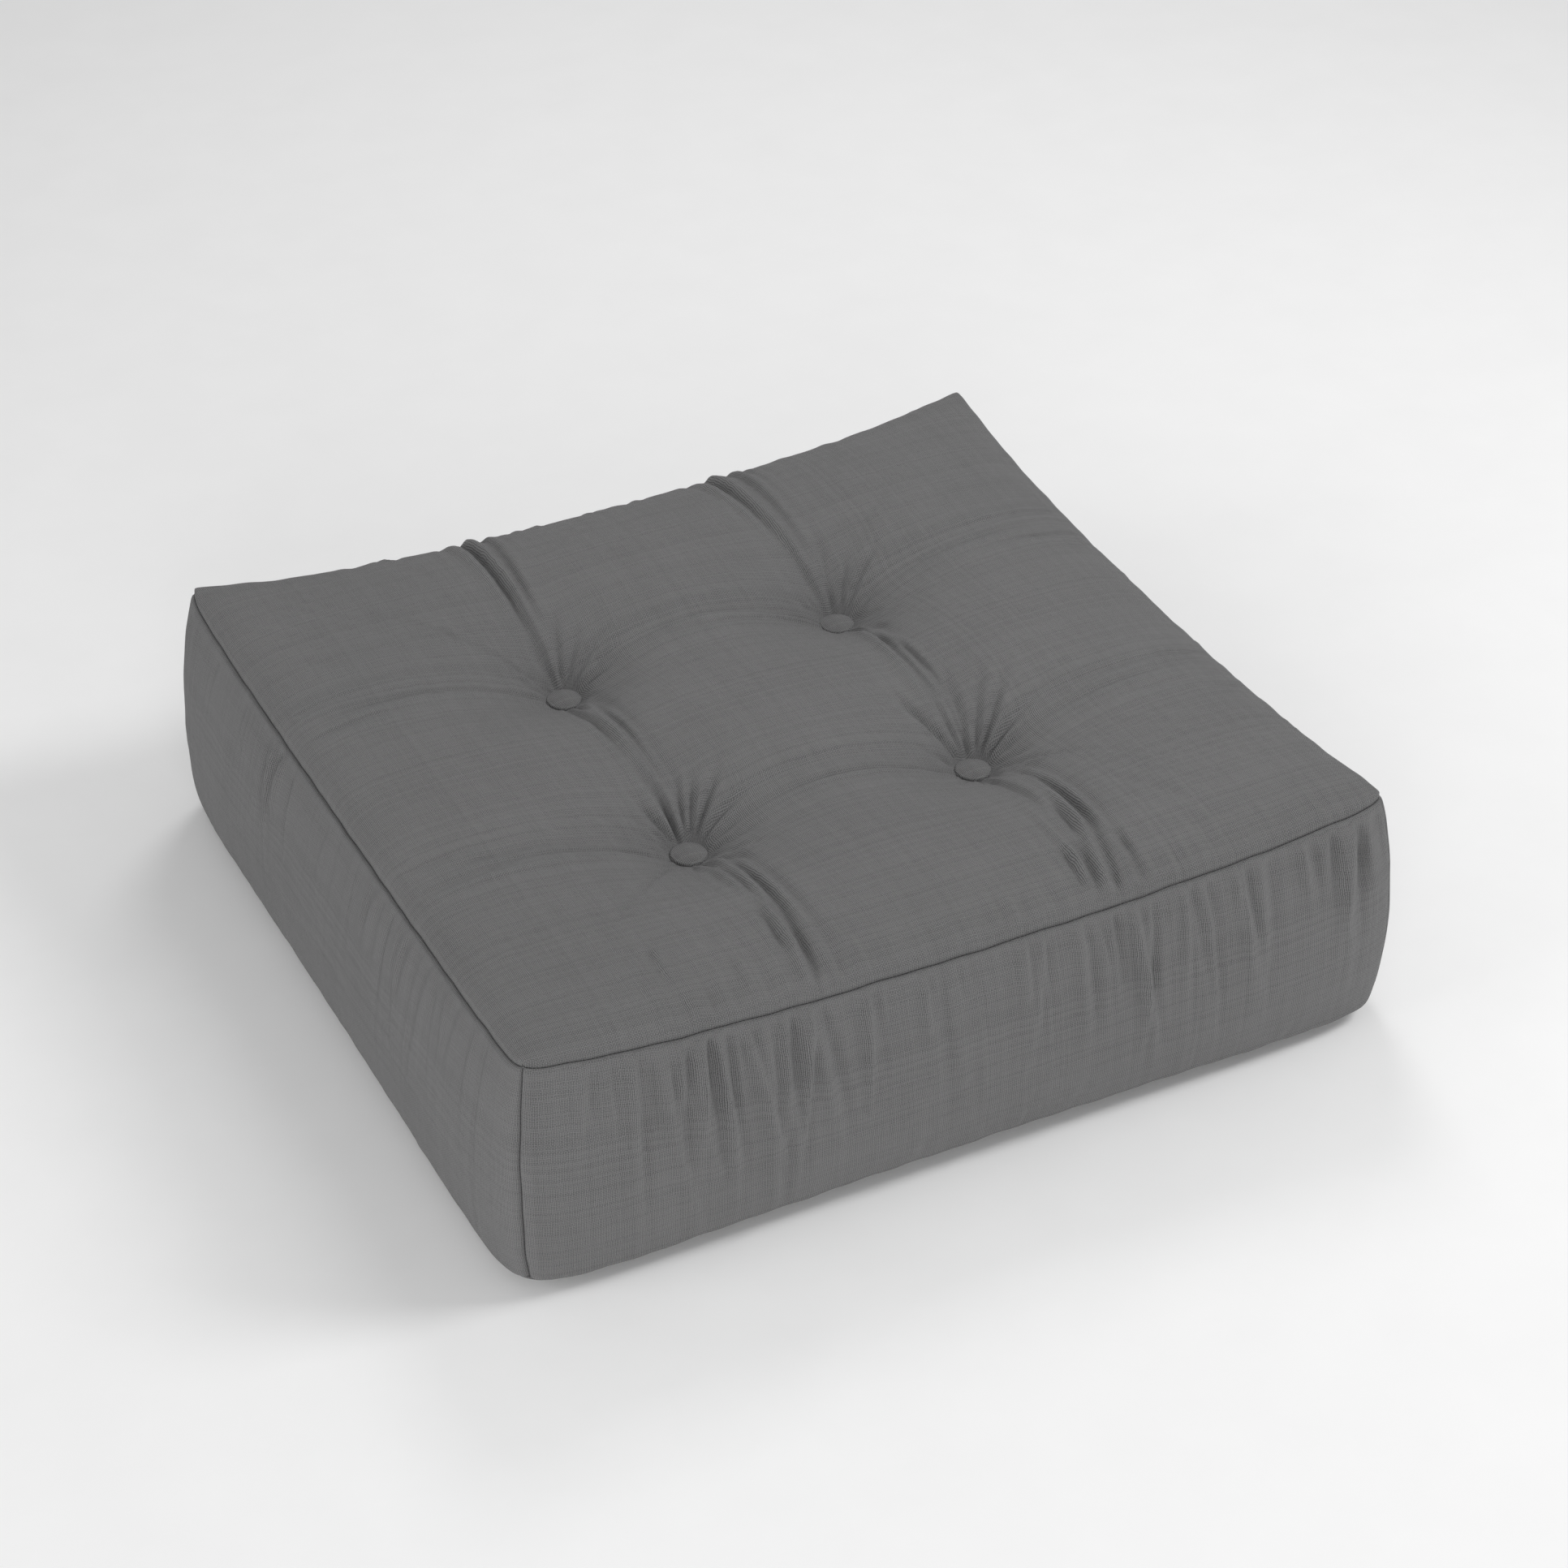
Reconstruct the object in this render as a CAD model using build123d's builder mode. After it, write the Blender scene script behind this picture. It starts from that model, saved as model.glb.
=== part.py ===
"""Tufted floor cushion: a boxed canvas cover over a wadded foam core, tied by four pairs of covered buttons.

Millimetres, +Z up, +X along the front, -Y towards the front. The origin is on the floor under the middle.
"""
import os
from math import asin, cos, pi, sin

from build123d import *

# Overall sizes
WIDTH = 700.0  # across the front, between the side seams
DEPTH = 660.0  # front to back, between the seams
TOP_EDGE_Z = 200.0  # height of the knife edge round the top panel
BOTTOM_EDGE_Z = 14.0  # height of the knife edge round the bottom panel
CROWN_RISE = 15.0  # the top panel's middle above its edge
CROWN_RUN = 220.0  # from the top edge in to where the crown is level
BORDER_BULGE = 16.0  # the borders' middle outside their edges
FOOT_INSET = 38.0  # from the side seam in to where the cushion meets the floor
EDGE_ZONE = 60.0  # the outer zone that the borders and their wadding take up

# Layers, from the outside in
CLOTH_T = 1.2
WADDING_T = 14.0
WADDING_TURN = 3.0  # how far the top and bottom wadding turn down past the core's edge
LAYER_GAP = 0.2

# Seams
SEAM_GAP = 0.8
THREAD_INSET = 0.2
THREAD_T = 0.7
THREAD_CLEARANCE = 0.1

# Tufting
BUTTON_SPACING_X = 240.0
BUTTON_SPACING_Y = 226.0
TOP_SEAT_Z = 160.0  # cloth under the top buttons
BOTTOM_SEAT_Z = 40.0  # cloth over the bottom buttons
TOP_MOUTH_R = 125.0
BOTTOM_MOUTH_R = 90.0
DIMPLE_OVERSHOOT = 6.0  # the dimple's arc runs this far past the crown or the floor
TUFT_HOLE_R = 4.0

# Covered buttons
BUTTON_R = 14.3
BUTTON_H = 6.6
BUTTON_RIM_H = 3.0
BUTTON_SHOULDER_R = 2.0
BUTTON_CLOTH_T = 0.9
BUTTON_SHELL_T = 0.5
BUTTON_LIP_T = 0.6
BUTTON_MOUTH_R = 11.9
BUTTON_CLEARANCE = 0.05
BUTTON_SEAT_GAP = 0.15
SEAT_MARGIN = 1.5
BACK_PLATE_T = 1.1
SHANK_R = 3.0
SHANK_WIRE_R = 0.5
TWINE_R = 0.7
TWINE_BEND_R = 1.8
TWINE_DROP = 1.3  # top of the twine's bend under the back plate

# Zip in the back border
ZIP_LENGTH = 560.0
ZIP_WINDOW_HALF = 5.5
ZIP_WINDOW_PAST_END = 6.0
HEM_WIDTH = 12.0
TAPE_T = 0.6
TAPE_OUTER_V = 16.0
TAPE_INNER_V = 0.6
COIL_T = 2.0
COIL_INNER_V = 0.5
COIL_OUTER_V = 2.9
COIL_ROUNDING = 0.6
STOP_LENGTH = 3.5
STOP_T = 2.6
STOP_OUTER_V = 3.3
STOP_GAP = 0.2
RECESS_PAST_ZIP = 4.0
RECESS_CLEARANCE = 0.5

# Slider and pull
SLIDER_LENGTH = 11.0
SLIDER_CLEARANCE = 0.3
SLIDER_PLATE_T = 1.0
SLIDER_FLANGE_T = 1.0
SLIDER_END_GAP = 0.3
WEDGE_T = 0.4
WEDGE_LENGTH = 3.0
BRIDGE_HALF_LENGTH = 3.8
BRIDGE_POST = 1.2
BRIDGE_WIDTH = 2.8
BRIDGE_T = 0.9
PIN_R = 0.7
PIN_CLEARANCE = 0.35
PULL_ARM_T = 1.2
PULL_ARM_GAP = 0.3
PULL_START = 5.2
PULL_LENGTH = 27.0
PULL_WIDTH = 7.4
PULL_T = 1.2
PULL_HOLE_R = 1.6
PULL_HOLE_INSET = 4.0
PULL_CORNER_R = 2.5

# Worked out from the sizes above
MID_Z = (TOP_EDGE_Z + BOTTOM_EDGE_Z) / 2
TOP_Z = TOP_EDGE_Z + CROWN_RISE
COVER_INNER = CLOTH_T
WADDING_OUTER = COVER_INNER + LAYER_GAP
WADDING_INNER = WADDING_OUTER + WADDING_T
CORE_OUTER = WADDING_INNER + LAYER_GAP
TOP_SEAM_Z = TOP_EDGE_Z - CLOTH_T - SEAM_GAP
BOTTOM_SEAM_Z = BOTTOM_EDGE_Z + CLOTH_T + SEAM_GAP
DIMPLE_SEAT_R = BUTTON_R + SEAT_MARGIN
REACH = 2 * (WIDTH + DEPTH)  # long enough to cross the whole cushion
BACK_CREST_Y = DEPTH / 2 + BORDER_BULGE
HEM_INNER_Y = BACK_CREST_Y - 2 * CLOTH_T
TAPE_OUTER_Y = HEM_INNER_Y - LAYER_GAP
TAPE_INNER_Y = TAPE_OUTER_Y - TAPE_T
COIL_OUTER_Y = TAPE_OUTER_Y + COIL_T
COIL_HALF = ZIP_LENGTH / 2 - STOP_LENGTH - STOP_GAP
FRONT_PLATE_Y = COIL_OUTER_Y + SLIDER_CLEARANCE
BACK_PLATE_Y = TAPE_INNER_Y - SLIDER_CLEARANCE
SLIDER_HALF_V = COIL_OUTER_V + SLIDER_CLEARANCE + SLIDER_FLANGE_T
SLIDER_X = COIL_HALF - SLIDER_LENGTH / 2 - SLIDER_END_GAP
PIN_Y = FRONT_PLATE_Y + SLIDER_PLATE_T + PIN_CLEARANCE + PIN_R

BUTTON_PLACES = [
    (-BUTTON_SPACING_X / 2, BUTTON_SPACING_Y / 2),
    (BUTTON_SPACING_X / 2, BUTTON_SPACING_Y / 2),
    (-BUTTON_SPACING_X / 2, -BUTTON_SPACING_Y / 2),
    (BUTTON_SPACING_X / 2, -BUTTON_SPACING_Y / 2),
]


def save(piece, name):
    """Label a finished piece and write it to its own file."""
    piece.part.label = name
    export_step(piece.part, f"parts/{name}.step")


def block(x_range, y_range, z_range):
    """A plain block between two corners, for cutting a region out of a layer."""
    centre = tuple(sum(span) / 2 for span in (x_range, y_range, z_range))
    sizes = [max(span) - min(span) for span in (x_range, y_range, z_range)]
    with BuildPart() as region:
        with Locations(centre):
            Box(*sizes)
    return region.part


def section(half_span, inset):
    """The stuffed cushion's section from the front or the side, taken in all round by an inset."""
    foot = half_span - FOOT_INSET
    level = half_span - CROWN_RUN
    bulge = half_span + BORDER_BULGE
    with BuildSketch() as outline:
        with BuildLine():
            Line((-foot, 0), (foot, 0))
            TangentArc((foot, 0), (half_span, BOTTOM_EDGE_Z), tangent=(1, 0))
            ThreePointArc((half_span, BOTTOM_EDGE_Z), (bulge, MID_Z), (half_span, TOP_EDGE_Z))
            TangentArc((level, TOP_Z), (half_span, TOP_EDGE_Z), tangent=(1, 0))
            Line((level, TOP_Z), (-level, TOP_Z))
            TangentArc((-level, TOP_Z), (-half_span, TOP_EDGE_Z), tangent=(-1, 0))
            ThreePointArc((-half_span, TOP_EDGE_Z), (-bulge, MID_Z), (-half_span, BOTTOM_EDGE_Z))
            TangentArc((-foot, 0), (-half_span, BOTTOM_EDGE_Z), tangent=(-1, 0))
        make_face()
        if inset:
            offset(amount=-inset, kind=Kind.INTERSECTION)
    return outline.sketch


def dimple(place, seat_z, open_z, mouth_r, inset):
    """What one dimple takes away: a round seat under the button and a rounded wall out to its mouth."""
    up = 1 if open_z > seat_z else -1
    rise = abs(open_z - seat_z)
    run = mouth_r - DIMPLE_SEAT_R
    wall_r = (run**2 + rise**2) / (2 * rise)
    inset_r = wall_r - inset
    centre_z = open_z - up * wall_r
    seat_angle = asin((wall_r - rise - inset) / inset_r)
    middle_angle = (pi / 2 + seat_angle) / 2
    seat = seat_z - up * inset
    inner_r = mouth_r - inset_r * cos(seat_angle)
    rim = open_z - up * inset
    past = open_z + up * rise
    middle = (mouth_r - inset_r * cos(middle_angle), centre_z + up * inset_r * sin(middle_angle))
    with BuildPart() as hollow:
        with BuildSketch(Plane(origin=(*place, 0), x_dir=(1, 0, 0), z_dir=(0, -1, 0))):
            with BuildLine():
                Polyline((0, past), (0, seat), (inner_r, seat))
                ThreePointArc((inner_r, seat), middle, (mouth_r, rim))
                Polyline((mouth_r, rim), (mouth_r, past), (0, past))
            make_face()
        revolve(axis=Axis((*place, 0), (0, 0, 1)))
    return hollow.part


def cushion_form(inset):
    """The stuffed cushion as one solid, taken in by an inset, with its dimples."""
    from_front = section(WIDTH / 2, inset)
    from_side = section(DEPTH / 2, inset)
    top_open = TOP_Z + DIMPLE_OVERSHOOT
    bottom_open = -DIMPLE_OVERSHOOT
    dimples = [dimple(place, TOP_SEAT_Z, top_open, TOP_MOUTH_R, inset) for place in BUTTON_PLACES]
    dimples += [dimple(place, BOTTOM_SEAT_Z, bottom_open, BOTTOM_MOUTH_R, inset) for place in BUTTON_PLACES]
    with BuildPart() as form:
        with BuildSketch(Plane.XZ):
            add(from_front)
        extrude(amount=REACH, both=True)
        with BuildSketch(Plane.YZ):
            add(from_side)
        extrude(amount=REACH, both=True, mode=Mode.INTERSECT)
        add(dimples, mode=Mode.SUBTRACT)
    return form.part


def layer(outer, inner):
    """What lies between two forms, with the tufting holes through it."""
    with BuildPart() as shell:
        add(outer)
        add(inner, mode=Mode.SUBTRACT)
        with Locations(*[(*place, MID_Z) for place in BUTTON_PLACES]):
            Cylinder(TUFT_HOLE_R, REACH, mode=Mode.SUBTRACT)
    return shell.part


def slab(low_z, high_z):
    """Everything between two heights."""
    return block((-REACH, REACH), (-REACH, REACH), (low_z, high_z))


def middle(low_z, high_z):
    """The middle of the cushion between two heights, where the dimples are and the borders aren't."""
    half_x = WIDTH / 2 - EDGE_ZONE
    half_y = DEPTH / 2 - EDGE_ZONE
    return block((-half_x, half_x), (-half_y, half_y), (low_z, high_z))


def facing_region(up, edge_z):
    """What a top or bottom layer covers: all past its edge height, and the middle as far as mid-height."""
    with BuildPart() as region:
        add(slab(*sorted((edge_z, up * REACH))))
        add(middle(*sorted((MID_Z, up * REACH))))
    return region.part


def edge_region(low_z, high_z):
    """What a border layer covers: the outer zone between two heights."""
    with BuildPart() as region:
        add(slab(low_z, high_z))
        add(middle(low_z, high_z), mode=Mode.SUBTRACT)
    return region.part


def border_wedge(across, half_span, half_other, gap):
    """The region of one border, between 45-degree cuts through its corners, short of each by half a gap."""
    half_gap = gap / 2 * 2**0.5
    reach = min(half_span, half_other) / 2
    plane = Plane(origin=(0, 0, 0), x_dir=across, z_dir=(0, 0, 1))
    with BuildPart() as wedge:
        with BuildSketch(plane):
            with BuildLine():
                Polyline(
                    (-half_span - reach + half_gap, -half_other - reach),
                    (half_span + reach - half_gap, -half_other - reach),
                    (half_span - reach - half_gap, -half_other + reach),
                    (-half_span + reach + half_gap, -half_other + reach),
                    close=True,
                )
            make_face()
        extrude(amount=REACH)
    return wedge.part


def make_panels(cover):
    """The top and bottom panels, each turned a little over its knife edge."""
    upper = facing_region(1, TOP_SEAM_Z + SEAM_GAP / 2)
    with BuildPart() as cover_top_panel:
        add(cover)
        add(upper, mode=Mode.INTERSECT)
    save(cover_top_panel, "cover_top_panel")
    lower = facing_region(-1, BOTTOM_SEAM_Z - SEAM_GAP / 2)
    with BuildPart() as cover_bottom_panel:
        add(cover)
        add(lower, mode=Mode.INTERSECT)
    save(cover_bottom_panel, "cover_bottom_panel")


def make_plain_borders(cover, band):
    """The front, left and right borders, each one strip of cloth."""
    sides = {
        "border_front": ((1, 0, 0), WIDTH / 2, DEPTH / 2),
        "border_right": ((0, 1, 0), DEPTH / 2, WIDTH / 2),
        "border_left": ((0, -1, 0), DEPTH / 2, WIDTH / 2),
    }
    for name, (across, half_span, half_other) in sides.items():
        wedge = border_wedge(across, half_span, half_other, SEAM_GAP)
        with BuildPart() as border:
            add(cover)
            add(band, mode=Mode.INTERSECT)
            add(wedge, mode=Mode.INTERSECT)
        save(border, name)


def make_back_border(cover, band):
    """The back border's two strips, hemmed along the zip and meeting in a seam past its ends."""
    wedge = border_wedge((-1, 0, 0), WIDTH / 2, DEPTH / 2, SEAM_GAP)
    window_x = ZIP_LENGTH / 2 + ZIP_WINDOW_PAST_END
    window = block((-window_x, window_x), (0, REACH), (MID_Z - ZIP_WINDOW_HALF, MID_Z + ZIP_WINDOW_HALF))
    hem_depth = (HEM_INNER_Y, BACK_CREST_Y - CLOTH_T / 2)
    for name, up in (("border_back_upper", 1), ("border_back_lower", -1)):
        half = slab(*sorted((MID_Z + up * SEAM_GAP / 2, MID_Z + up * REACH)))
        hem_edge = MID_Z + up * ZIP_WINDOW_HALF
        hem = block((-window_x, window_x), hem_depth, (hem_edge, hem_edge + up * HEM_WIDTH))
        with BuildPart() as strip:
            add(cover)
            add(band, mode=Mode.INTERSECT)
            add(wedge, mode=Mode.INTERSECT)
            add(half, mode=Mode.INTERSECT)
            add(window, mode=Mode.SUBTRACT)
            add(hem)
        save(strip, name)


def make_seam_threads():
    """The sewing thread that lies in each seam of the cover."""
    ring = layer(cushion_form(THREAD_INSET), cushion_form(THREAD_INSET + THREAD_T))
    half = SEAM_GAP / 2 - THREAD_CLEARANCE
    for name, seam_z in (("top_seam_thread", TOP_SEAM_Z), ("bottom_seam_thread", BOTTOM_SEAM_Z)):
        level = edge_region(seam_z - half, seam_z + half)
        with BuildPart() as thread:
            add(ring)
            add(level, mode=Mode.INTERSECT)
        save(thread, name)
    between = slab(BOTTOM_SEAM_Z + SEAM_GAP, TOP_SEAM_Z - SEAM_GAP)
    with BuildPart() as corners:
        for turn_x in (-1, 1):
            for turn_y in (-1, 1):
                corner = Plane(origin=(turn_x * WIDTH / 2, turn_y * DEPTH / 2, 0), x_dir=(turn_x, turn_y, 0))
                with BuildSketch(corner):
                    Rectangle(REACH / 20, 2 * half)
        extrude(amount=REACH)
    with BuildPart() as corner_seam_threads:
        add(ring)
        add(between, mode=Mode.INTERSECT)
        add(corners.part, mode=Mode.INTERSECT)
    save(corner_seam_threads, "corner_seam_threads")


def make_wadding_and_core():
    """The polyester wadding in three pieces round the foam core."""
    wadding = layer(cushion_form(WADDING_OUTER), cushion_form(WADDING_INNER))
    recess_x = ZIP_LENGTH / 2 + ZIP_WINDOW_PAST_END + RECESS_PAST_ZIP
    recess_v = ZIP_WINDOW_HALF + HEM_WIDTH + RECESS_PAST_ZIP
    recess_y = BACK_PLATE_Y - SLIDER_PLATE_T - RECESS_CLEARANCE
    recess = block((-recess_x, recess_x), (recess_y, REACH), (MID_Z - recess_v, MID_Z + recess_v))
    top_joint = TOP_EDGE_Z - CORE_OUTER - WADDING_TURN
    bottom_joint = BOTTOM_EDGE_Z + CORE_OUTER + WADDING_TURN
    levels = {
        "wadding_top": facing_region(1, top_joint + LAYER_GAP / 2),
        "wadding_border": edge_region(bottom_joint + LAYER_GAP / 2, top_joint - LAYER_GAP / 2),
        "wadding_bottom": facing_region(-1, bottom_joint - LAYER_GAP / 2),
    }
    for name, level in levels.items():
        with BuildPart() as piece:
            add(wadding)
            add(level, mode=Mode.INTERSECT)
            add(recess, mode=Mode.SUBTRACT)
        save(piece, name)
    core = cushion_form(CORE_OUTER)
    with BuildPart() as foam_core:
        add(core)
        with Locations(*[(*place, MID_Z) for place in BUTTON_PLACES]):
            Cylinder(TUFT_HOLE_R, REACH, mode=Mode.SUBTRACT)
    save(foam_core, "foam_core")


def button_plane(place, seat_z, up):
    """The plane of one button's seat, facing out of the cushion."""
    return Plane(origin=(*place, seat_z + up * BUTTON_SEAT_GAP), x_dir=(1, 0, 0), z_dir=(0, 0, up))


def dome(seat, radius, height, base):
    """A low dome on a seat plane: a straight rim, a rounded shoulder and a crown, above a base level."""
    profile = Plane(origin=seat.origin, x_dir=seat.x_dir, z_dir=-seat.y_dir)
    with BuildPart() as solid:
        with BuildSketch(profile) as outline:
            with BuildLine():
                Polyline((0, height), (0, base), (radius, base), (radius, BUTTON_RIM_H))
                TangentArc((0, height), (radius, BUTTON_RIM_H), tangent=(1, 0))
            make_face()
            fillet(outline.vertices().group_by(Axis.X)[-1].sort_by(Axis.Y)[-1], BUTTON_SHOULDER_R)
        revolve(axis=Axis(seat.origin, seat.z_dir))
    return solid.part


def make_button(prefix, number, place, seat_z, up):
    """One covered button: cloth turned under a metal dome, and a back plate with its wire shank."""
    seat = button_plane(place, seat_z, up)
    cloth_out = dome(seat, BUTTON_R, BUTTON_H, 0)
    shell_r = BUTTON_R - BUTTON_CLOTH_T
    shell_h = BUTTON_H - BUTTON_CLOTH_T
    cavity = dome(seat, shell_r, shell_h, BUTTON_LIP_T)
    with BuildPart() as cloth:
        add(cloth_out)
        add(cavity, mode=Mode.SUBTRACT)
        with Locations(seat):
            Cylinder(BUTTON_MOUTH_R, 2 * BUTTON_LIP_T + BUTTON_CLEARANCE, mode=Mode.SUBTRACT)
    save(cloth, f"{prefix}_button_cloth_{number}")

    inside = BUTTON_CLEARANCE + BUTTON_SHELL_T
    shell_base = BUTTON_LIP_T + BUTTON_CLEARANCE
    shell_out = dome(seat, shell_r - BUTTON_CLEARANCE, shell_h - BUTTON_CLEARANCE, shell_base)
    shell_in = dome(seat, shell_r - inside, shell_h - inside, 0)
    with BuildPart() as shell:
        add(shell_out)
        add(shell_in, mode=Mode.SUBTRACT)
    save(shell, f"{prefix}_button_shell_{number}")

    plate_r = BUTTON_MOUTH_R - BUTTON_CLEARANCE
    wire_start = Plane(origin=seat.origin + seat.x_dir * SHANK_R, x_dir=seat.x_dir, z_dir=seat.z_dir)
    with BuildPart() as back:
        with BuildSketch(seat):
            Circle(plate_r)
        extrude(amount=BACK_PLATE_T)
        with BuildSketch(wire_start):
            Circle(SHANK_WIRE_R)
        revolve(axis=Axis(seat.origin, seat.y_dir), revolution_arc=180)
    save(back, f"{prefix}_button_back_{number}")


def make_twine(number, place):
    """The doubled twine that ties a top button to the bottom button under it."""
    high = TOP_SEAT_Z + BUTTON_SEAT_GAP - TWINE_DROP
    low = BOTTOM_SEAT_Z - BUTTON_SEAT_GAP + TWINE_DROP
    upper = high - TWINE_BEND_R
    lower = low + TWINE_BEND_R
    side = TWINE_BEND_R
    with BuildPart() as twine:
        with BuildLine(Plane(origin=(*place, 0), x_dir=(0, 1, 0), z_dir=(1, 0, 0))):
            Line((side, lower), (side, upper))
            ThreePointArc((side, upper), (0, high), (-side, upper))
            Line((-side, upper), (-side, lower))
            ThreePointArc((-side, lower), (0, low), (side, lower))
        with BuildSketch(Plane(origin=(place[0], place[1] + side, lower), z_dir=(0, 0, 1))):
            Circle(TWINE_R)
        sweep()
    save(twine, f"tufting_twine_{number}")


def make_zip_track():
    """The two tapes with their coils, and the stops at the ends."""
    half = ZIP_LENGTH / 2
    tape_x = half + ZIP_WINDOW_PAST_END
    for name, up in (("upper", 1), ("lower", -1)):
        tape_v = (MID_Z + up * TAPE_INNER_V, MID_Z + up * TAPE_OUTER_V)
        tape = block((-tape_x, tape_x), (TAPE_INNER_Y, TAPE_OUTER_Y), tape_v)
        with BuildPart() as zip_tape:
            add(tape)
        save(zip_tape, f"zip_tape_{name}")
        coil_v = (MID_Z + up * COIL_INNER_V, MID_Z + up * COIL_OUTER_V)
        row = block((-COIL_HALF, COIL_HALF), (TAPE_OUTER_Y, COIL_OUTER_Y), coil_v)
        with BuildPart() as zip_coil:
            add(row)
            outer_edges = zip_coil.edges().filter_by(Axis.X).group_by(Axis.Y)[-1]
            fillet(outer_edges, COIL_ROUNDING)
        save(zip_coil, f"zip_coil_{name}")

    stop_y = (TAPE_OUTER_Y, TAPE_OUTER_Y + STOP_T)
    with BuildPart() as zip_top_stops:
        for up in (-1, 1):
            stop_v = (MID_Z + up * COIL_INNER_V, MID_Z + up * STOP_OUTER_V)
            add(block((half - STOP_LENGTH, half), stop_y, stop_v))
        fillet(zip_top_stops.edges().group_by(Axis.Y)[-1], COIL_ROUNDING)
    save(zip_top_stops, "zip_top_stops")
    with BuildPart() as zip_bottom_stop:
        add(block((-half, STOP_LENGTH - half), stop_y, (MID_Z - STOP_OUTER_V, MID_Z + STOP_OUTER_V)))
        fillet(zip_bottom_stop.edges().group_by(Axis.Y)[-1], COIL_ROUNDING)
    save(zip_bottom_stop, "zip_bottom_stop")


def make_zip_slider():
    """The slider: two plates round the coils, a thin wedge joining them, and a bridge on the front plate."""
    span_x = (SLIDER_X - SLIDER_LENGTH / 2, SLIDER_X + SLIDER_LENGTH / 2)
    wide_v = (MID_Z - SLIDER_HALF_V, MID_Z + SLIDER_HALF_V)
    front = FRONT_PLATE_Y + SLIDER_PLATE_T
    bridge_y = PIN_Y + PIN_R + PIN_CLEARANCE
    bridge_v = (MID_Z - BRIDGE_WIDTH / 2, MID_Z + BRIDGE_WIDTH / 2)
    with BuildPart() as zip_slider:
        add(block(span_x, (FRONT_PLATE_Y, front), wide_v))
        add(block(span_x, (BACK_PLATE_Y - SLIDER_PLATE_T, BACK_PLATE_Y), wide_v))
        fillet(zip_slider.edges().filter_by(Axis.Y), SLIDER_PLATE_T)
        for up in (-1, 1):
            flange_v = (MID_Z + up * (SLIDER_HALF_V - SLIDER_FLANGE_T), MID_Z + up * SLIDER_HALF_V)
            flange_x = (span_x[0] + SLIDER_PLATE_T, span_x[1] - SLIDER_PLATE_T)
            add(block(flange_x, (TAPE_OUTER_Y + SLIDER_CLEARANCE, FRONT_PLATE_Y), flange_v))
        wedge_x = (span_x[1] - WEDGE_LENGTH, span_x[1] - SLIDER_PLATE_T / 2)
        add(block(wedge_x, (BACK_PLATE_Y, FRONT_PLATE_Y), (MID_Z - WEDGE_T / 2, MID_Z + WEDGE_T / 2)))
        for side in (-1, 1):
            post_in = SLIDER_X + side * (BRIDGE_HALF_LENGTH - BRIDGE_POST)
            post_x = (post_in, SLIDER_X + side * BRIDGE_HALF_LENGTH)
            add(block(post_x, (front, bridge_y), bridge_v))
        bar_x = (SLIDER_X - BRIDGE_HALF_LENGTH, SLIDER_X + BRIDGE_HALF_LENGTH)
        add(block(bar_x, (bridge_y, bridge_y + BRIDGE_T), bridge_v))
    save(zip_slider, "zip_slider")


def make_zip_pull():
    """The pull: a pin under the slider's bridge, two arms round the bridge, and a finger tab with a hole."""
    arm_in = BRIDGE_WIDTH / 2 + PULL_ARM_GAP
    arm_out = arm_in + PULL_ARM_T
    flat = (PIN_Y - PULL_T / 2, PIN_Y + PULL_T / 2)
    with BuildPart() as zip_pull:
        with Locations((SLIDER_X, PIN_Y, MID_Z)):
            Cylinder(PIN_R, 2 * arm_out)
        for up in (-1, 1):
            arm_v = (MID_Z + up * arm_in, MID_Z + up * arm_out)
            add(block((SLIDER_X - PULL_START - PULL_ARM_T, SLIDER_X), flat, arm_v))
        with BuildSketch(Plane(origin=(SLIDER_X, flat[0], MID_Z), x_dir=(-1, 0, 0), z_dir=(0, 1, 0))) as tab:
            with Locations(((PULL_START + PULL_LENGTH) / 2, 0)):
                Rectangle(PULL_LENGTH - PULL_START, PULL_WIDTH)
            fillet(tab.vertices().group_by(Axis.X)[-1], PULL_CORNER_R)
            with Locations((PULL_LENGTH - PULL_HOLE_INSET, 0)):
                Circle(PULL_HOLE_R, mode=Mode.SUBTRACT)
        extrude(amount=PULL_T)
    save(zip_pull, "zip_pull")


def main():
    """Make every piece of the cushion and write it to parts."""
    os.makedirs("parts", exist_ok=True)
    cover = layer(cushion_form(0), cushion_form(COVER_INNER))
    band = edge_region(BOTTOM_SEAM_Z + SEAM_GAP / 2, TOP_SEAM_Z - SEAM_GAP / 2)
    make_panels(cover)
    make_plain_borders(cover, band)
    make_back_border(cover, band)
    make_seam_threads()
    make_wadding_and_core()
    for number, place in enumerate(BUTTON_PLACES, start=1):
        make_button("top", number, place, TOP_SEAT_Z, 1)
        make_button("bottom", number, place, BOTTOM_SEAT_Z, -1)
        make_twine(number, place)
    make_zip_track()
    make_zip_slider()
    make_zip_pull()


main()
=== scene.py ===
"""Tufted floor cushion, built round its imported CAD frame.

Metres throughout. +Z is up, +X runs along the front border and -Y faces the front.
"""
import logging
import math
from dataclasses import dataclass, field
from enum import Enum
from typing import Callable, Iterable, Optional, Sequence

import bpy
import numpy as np
from mathutils import Matrix, Vector


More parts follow.
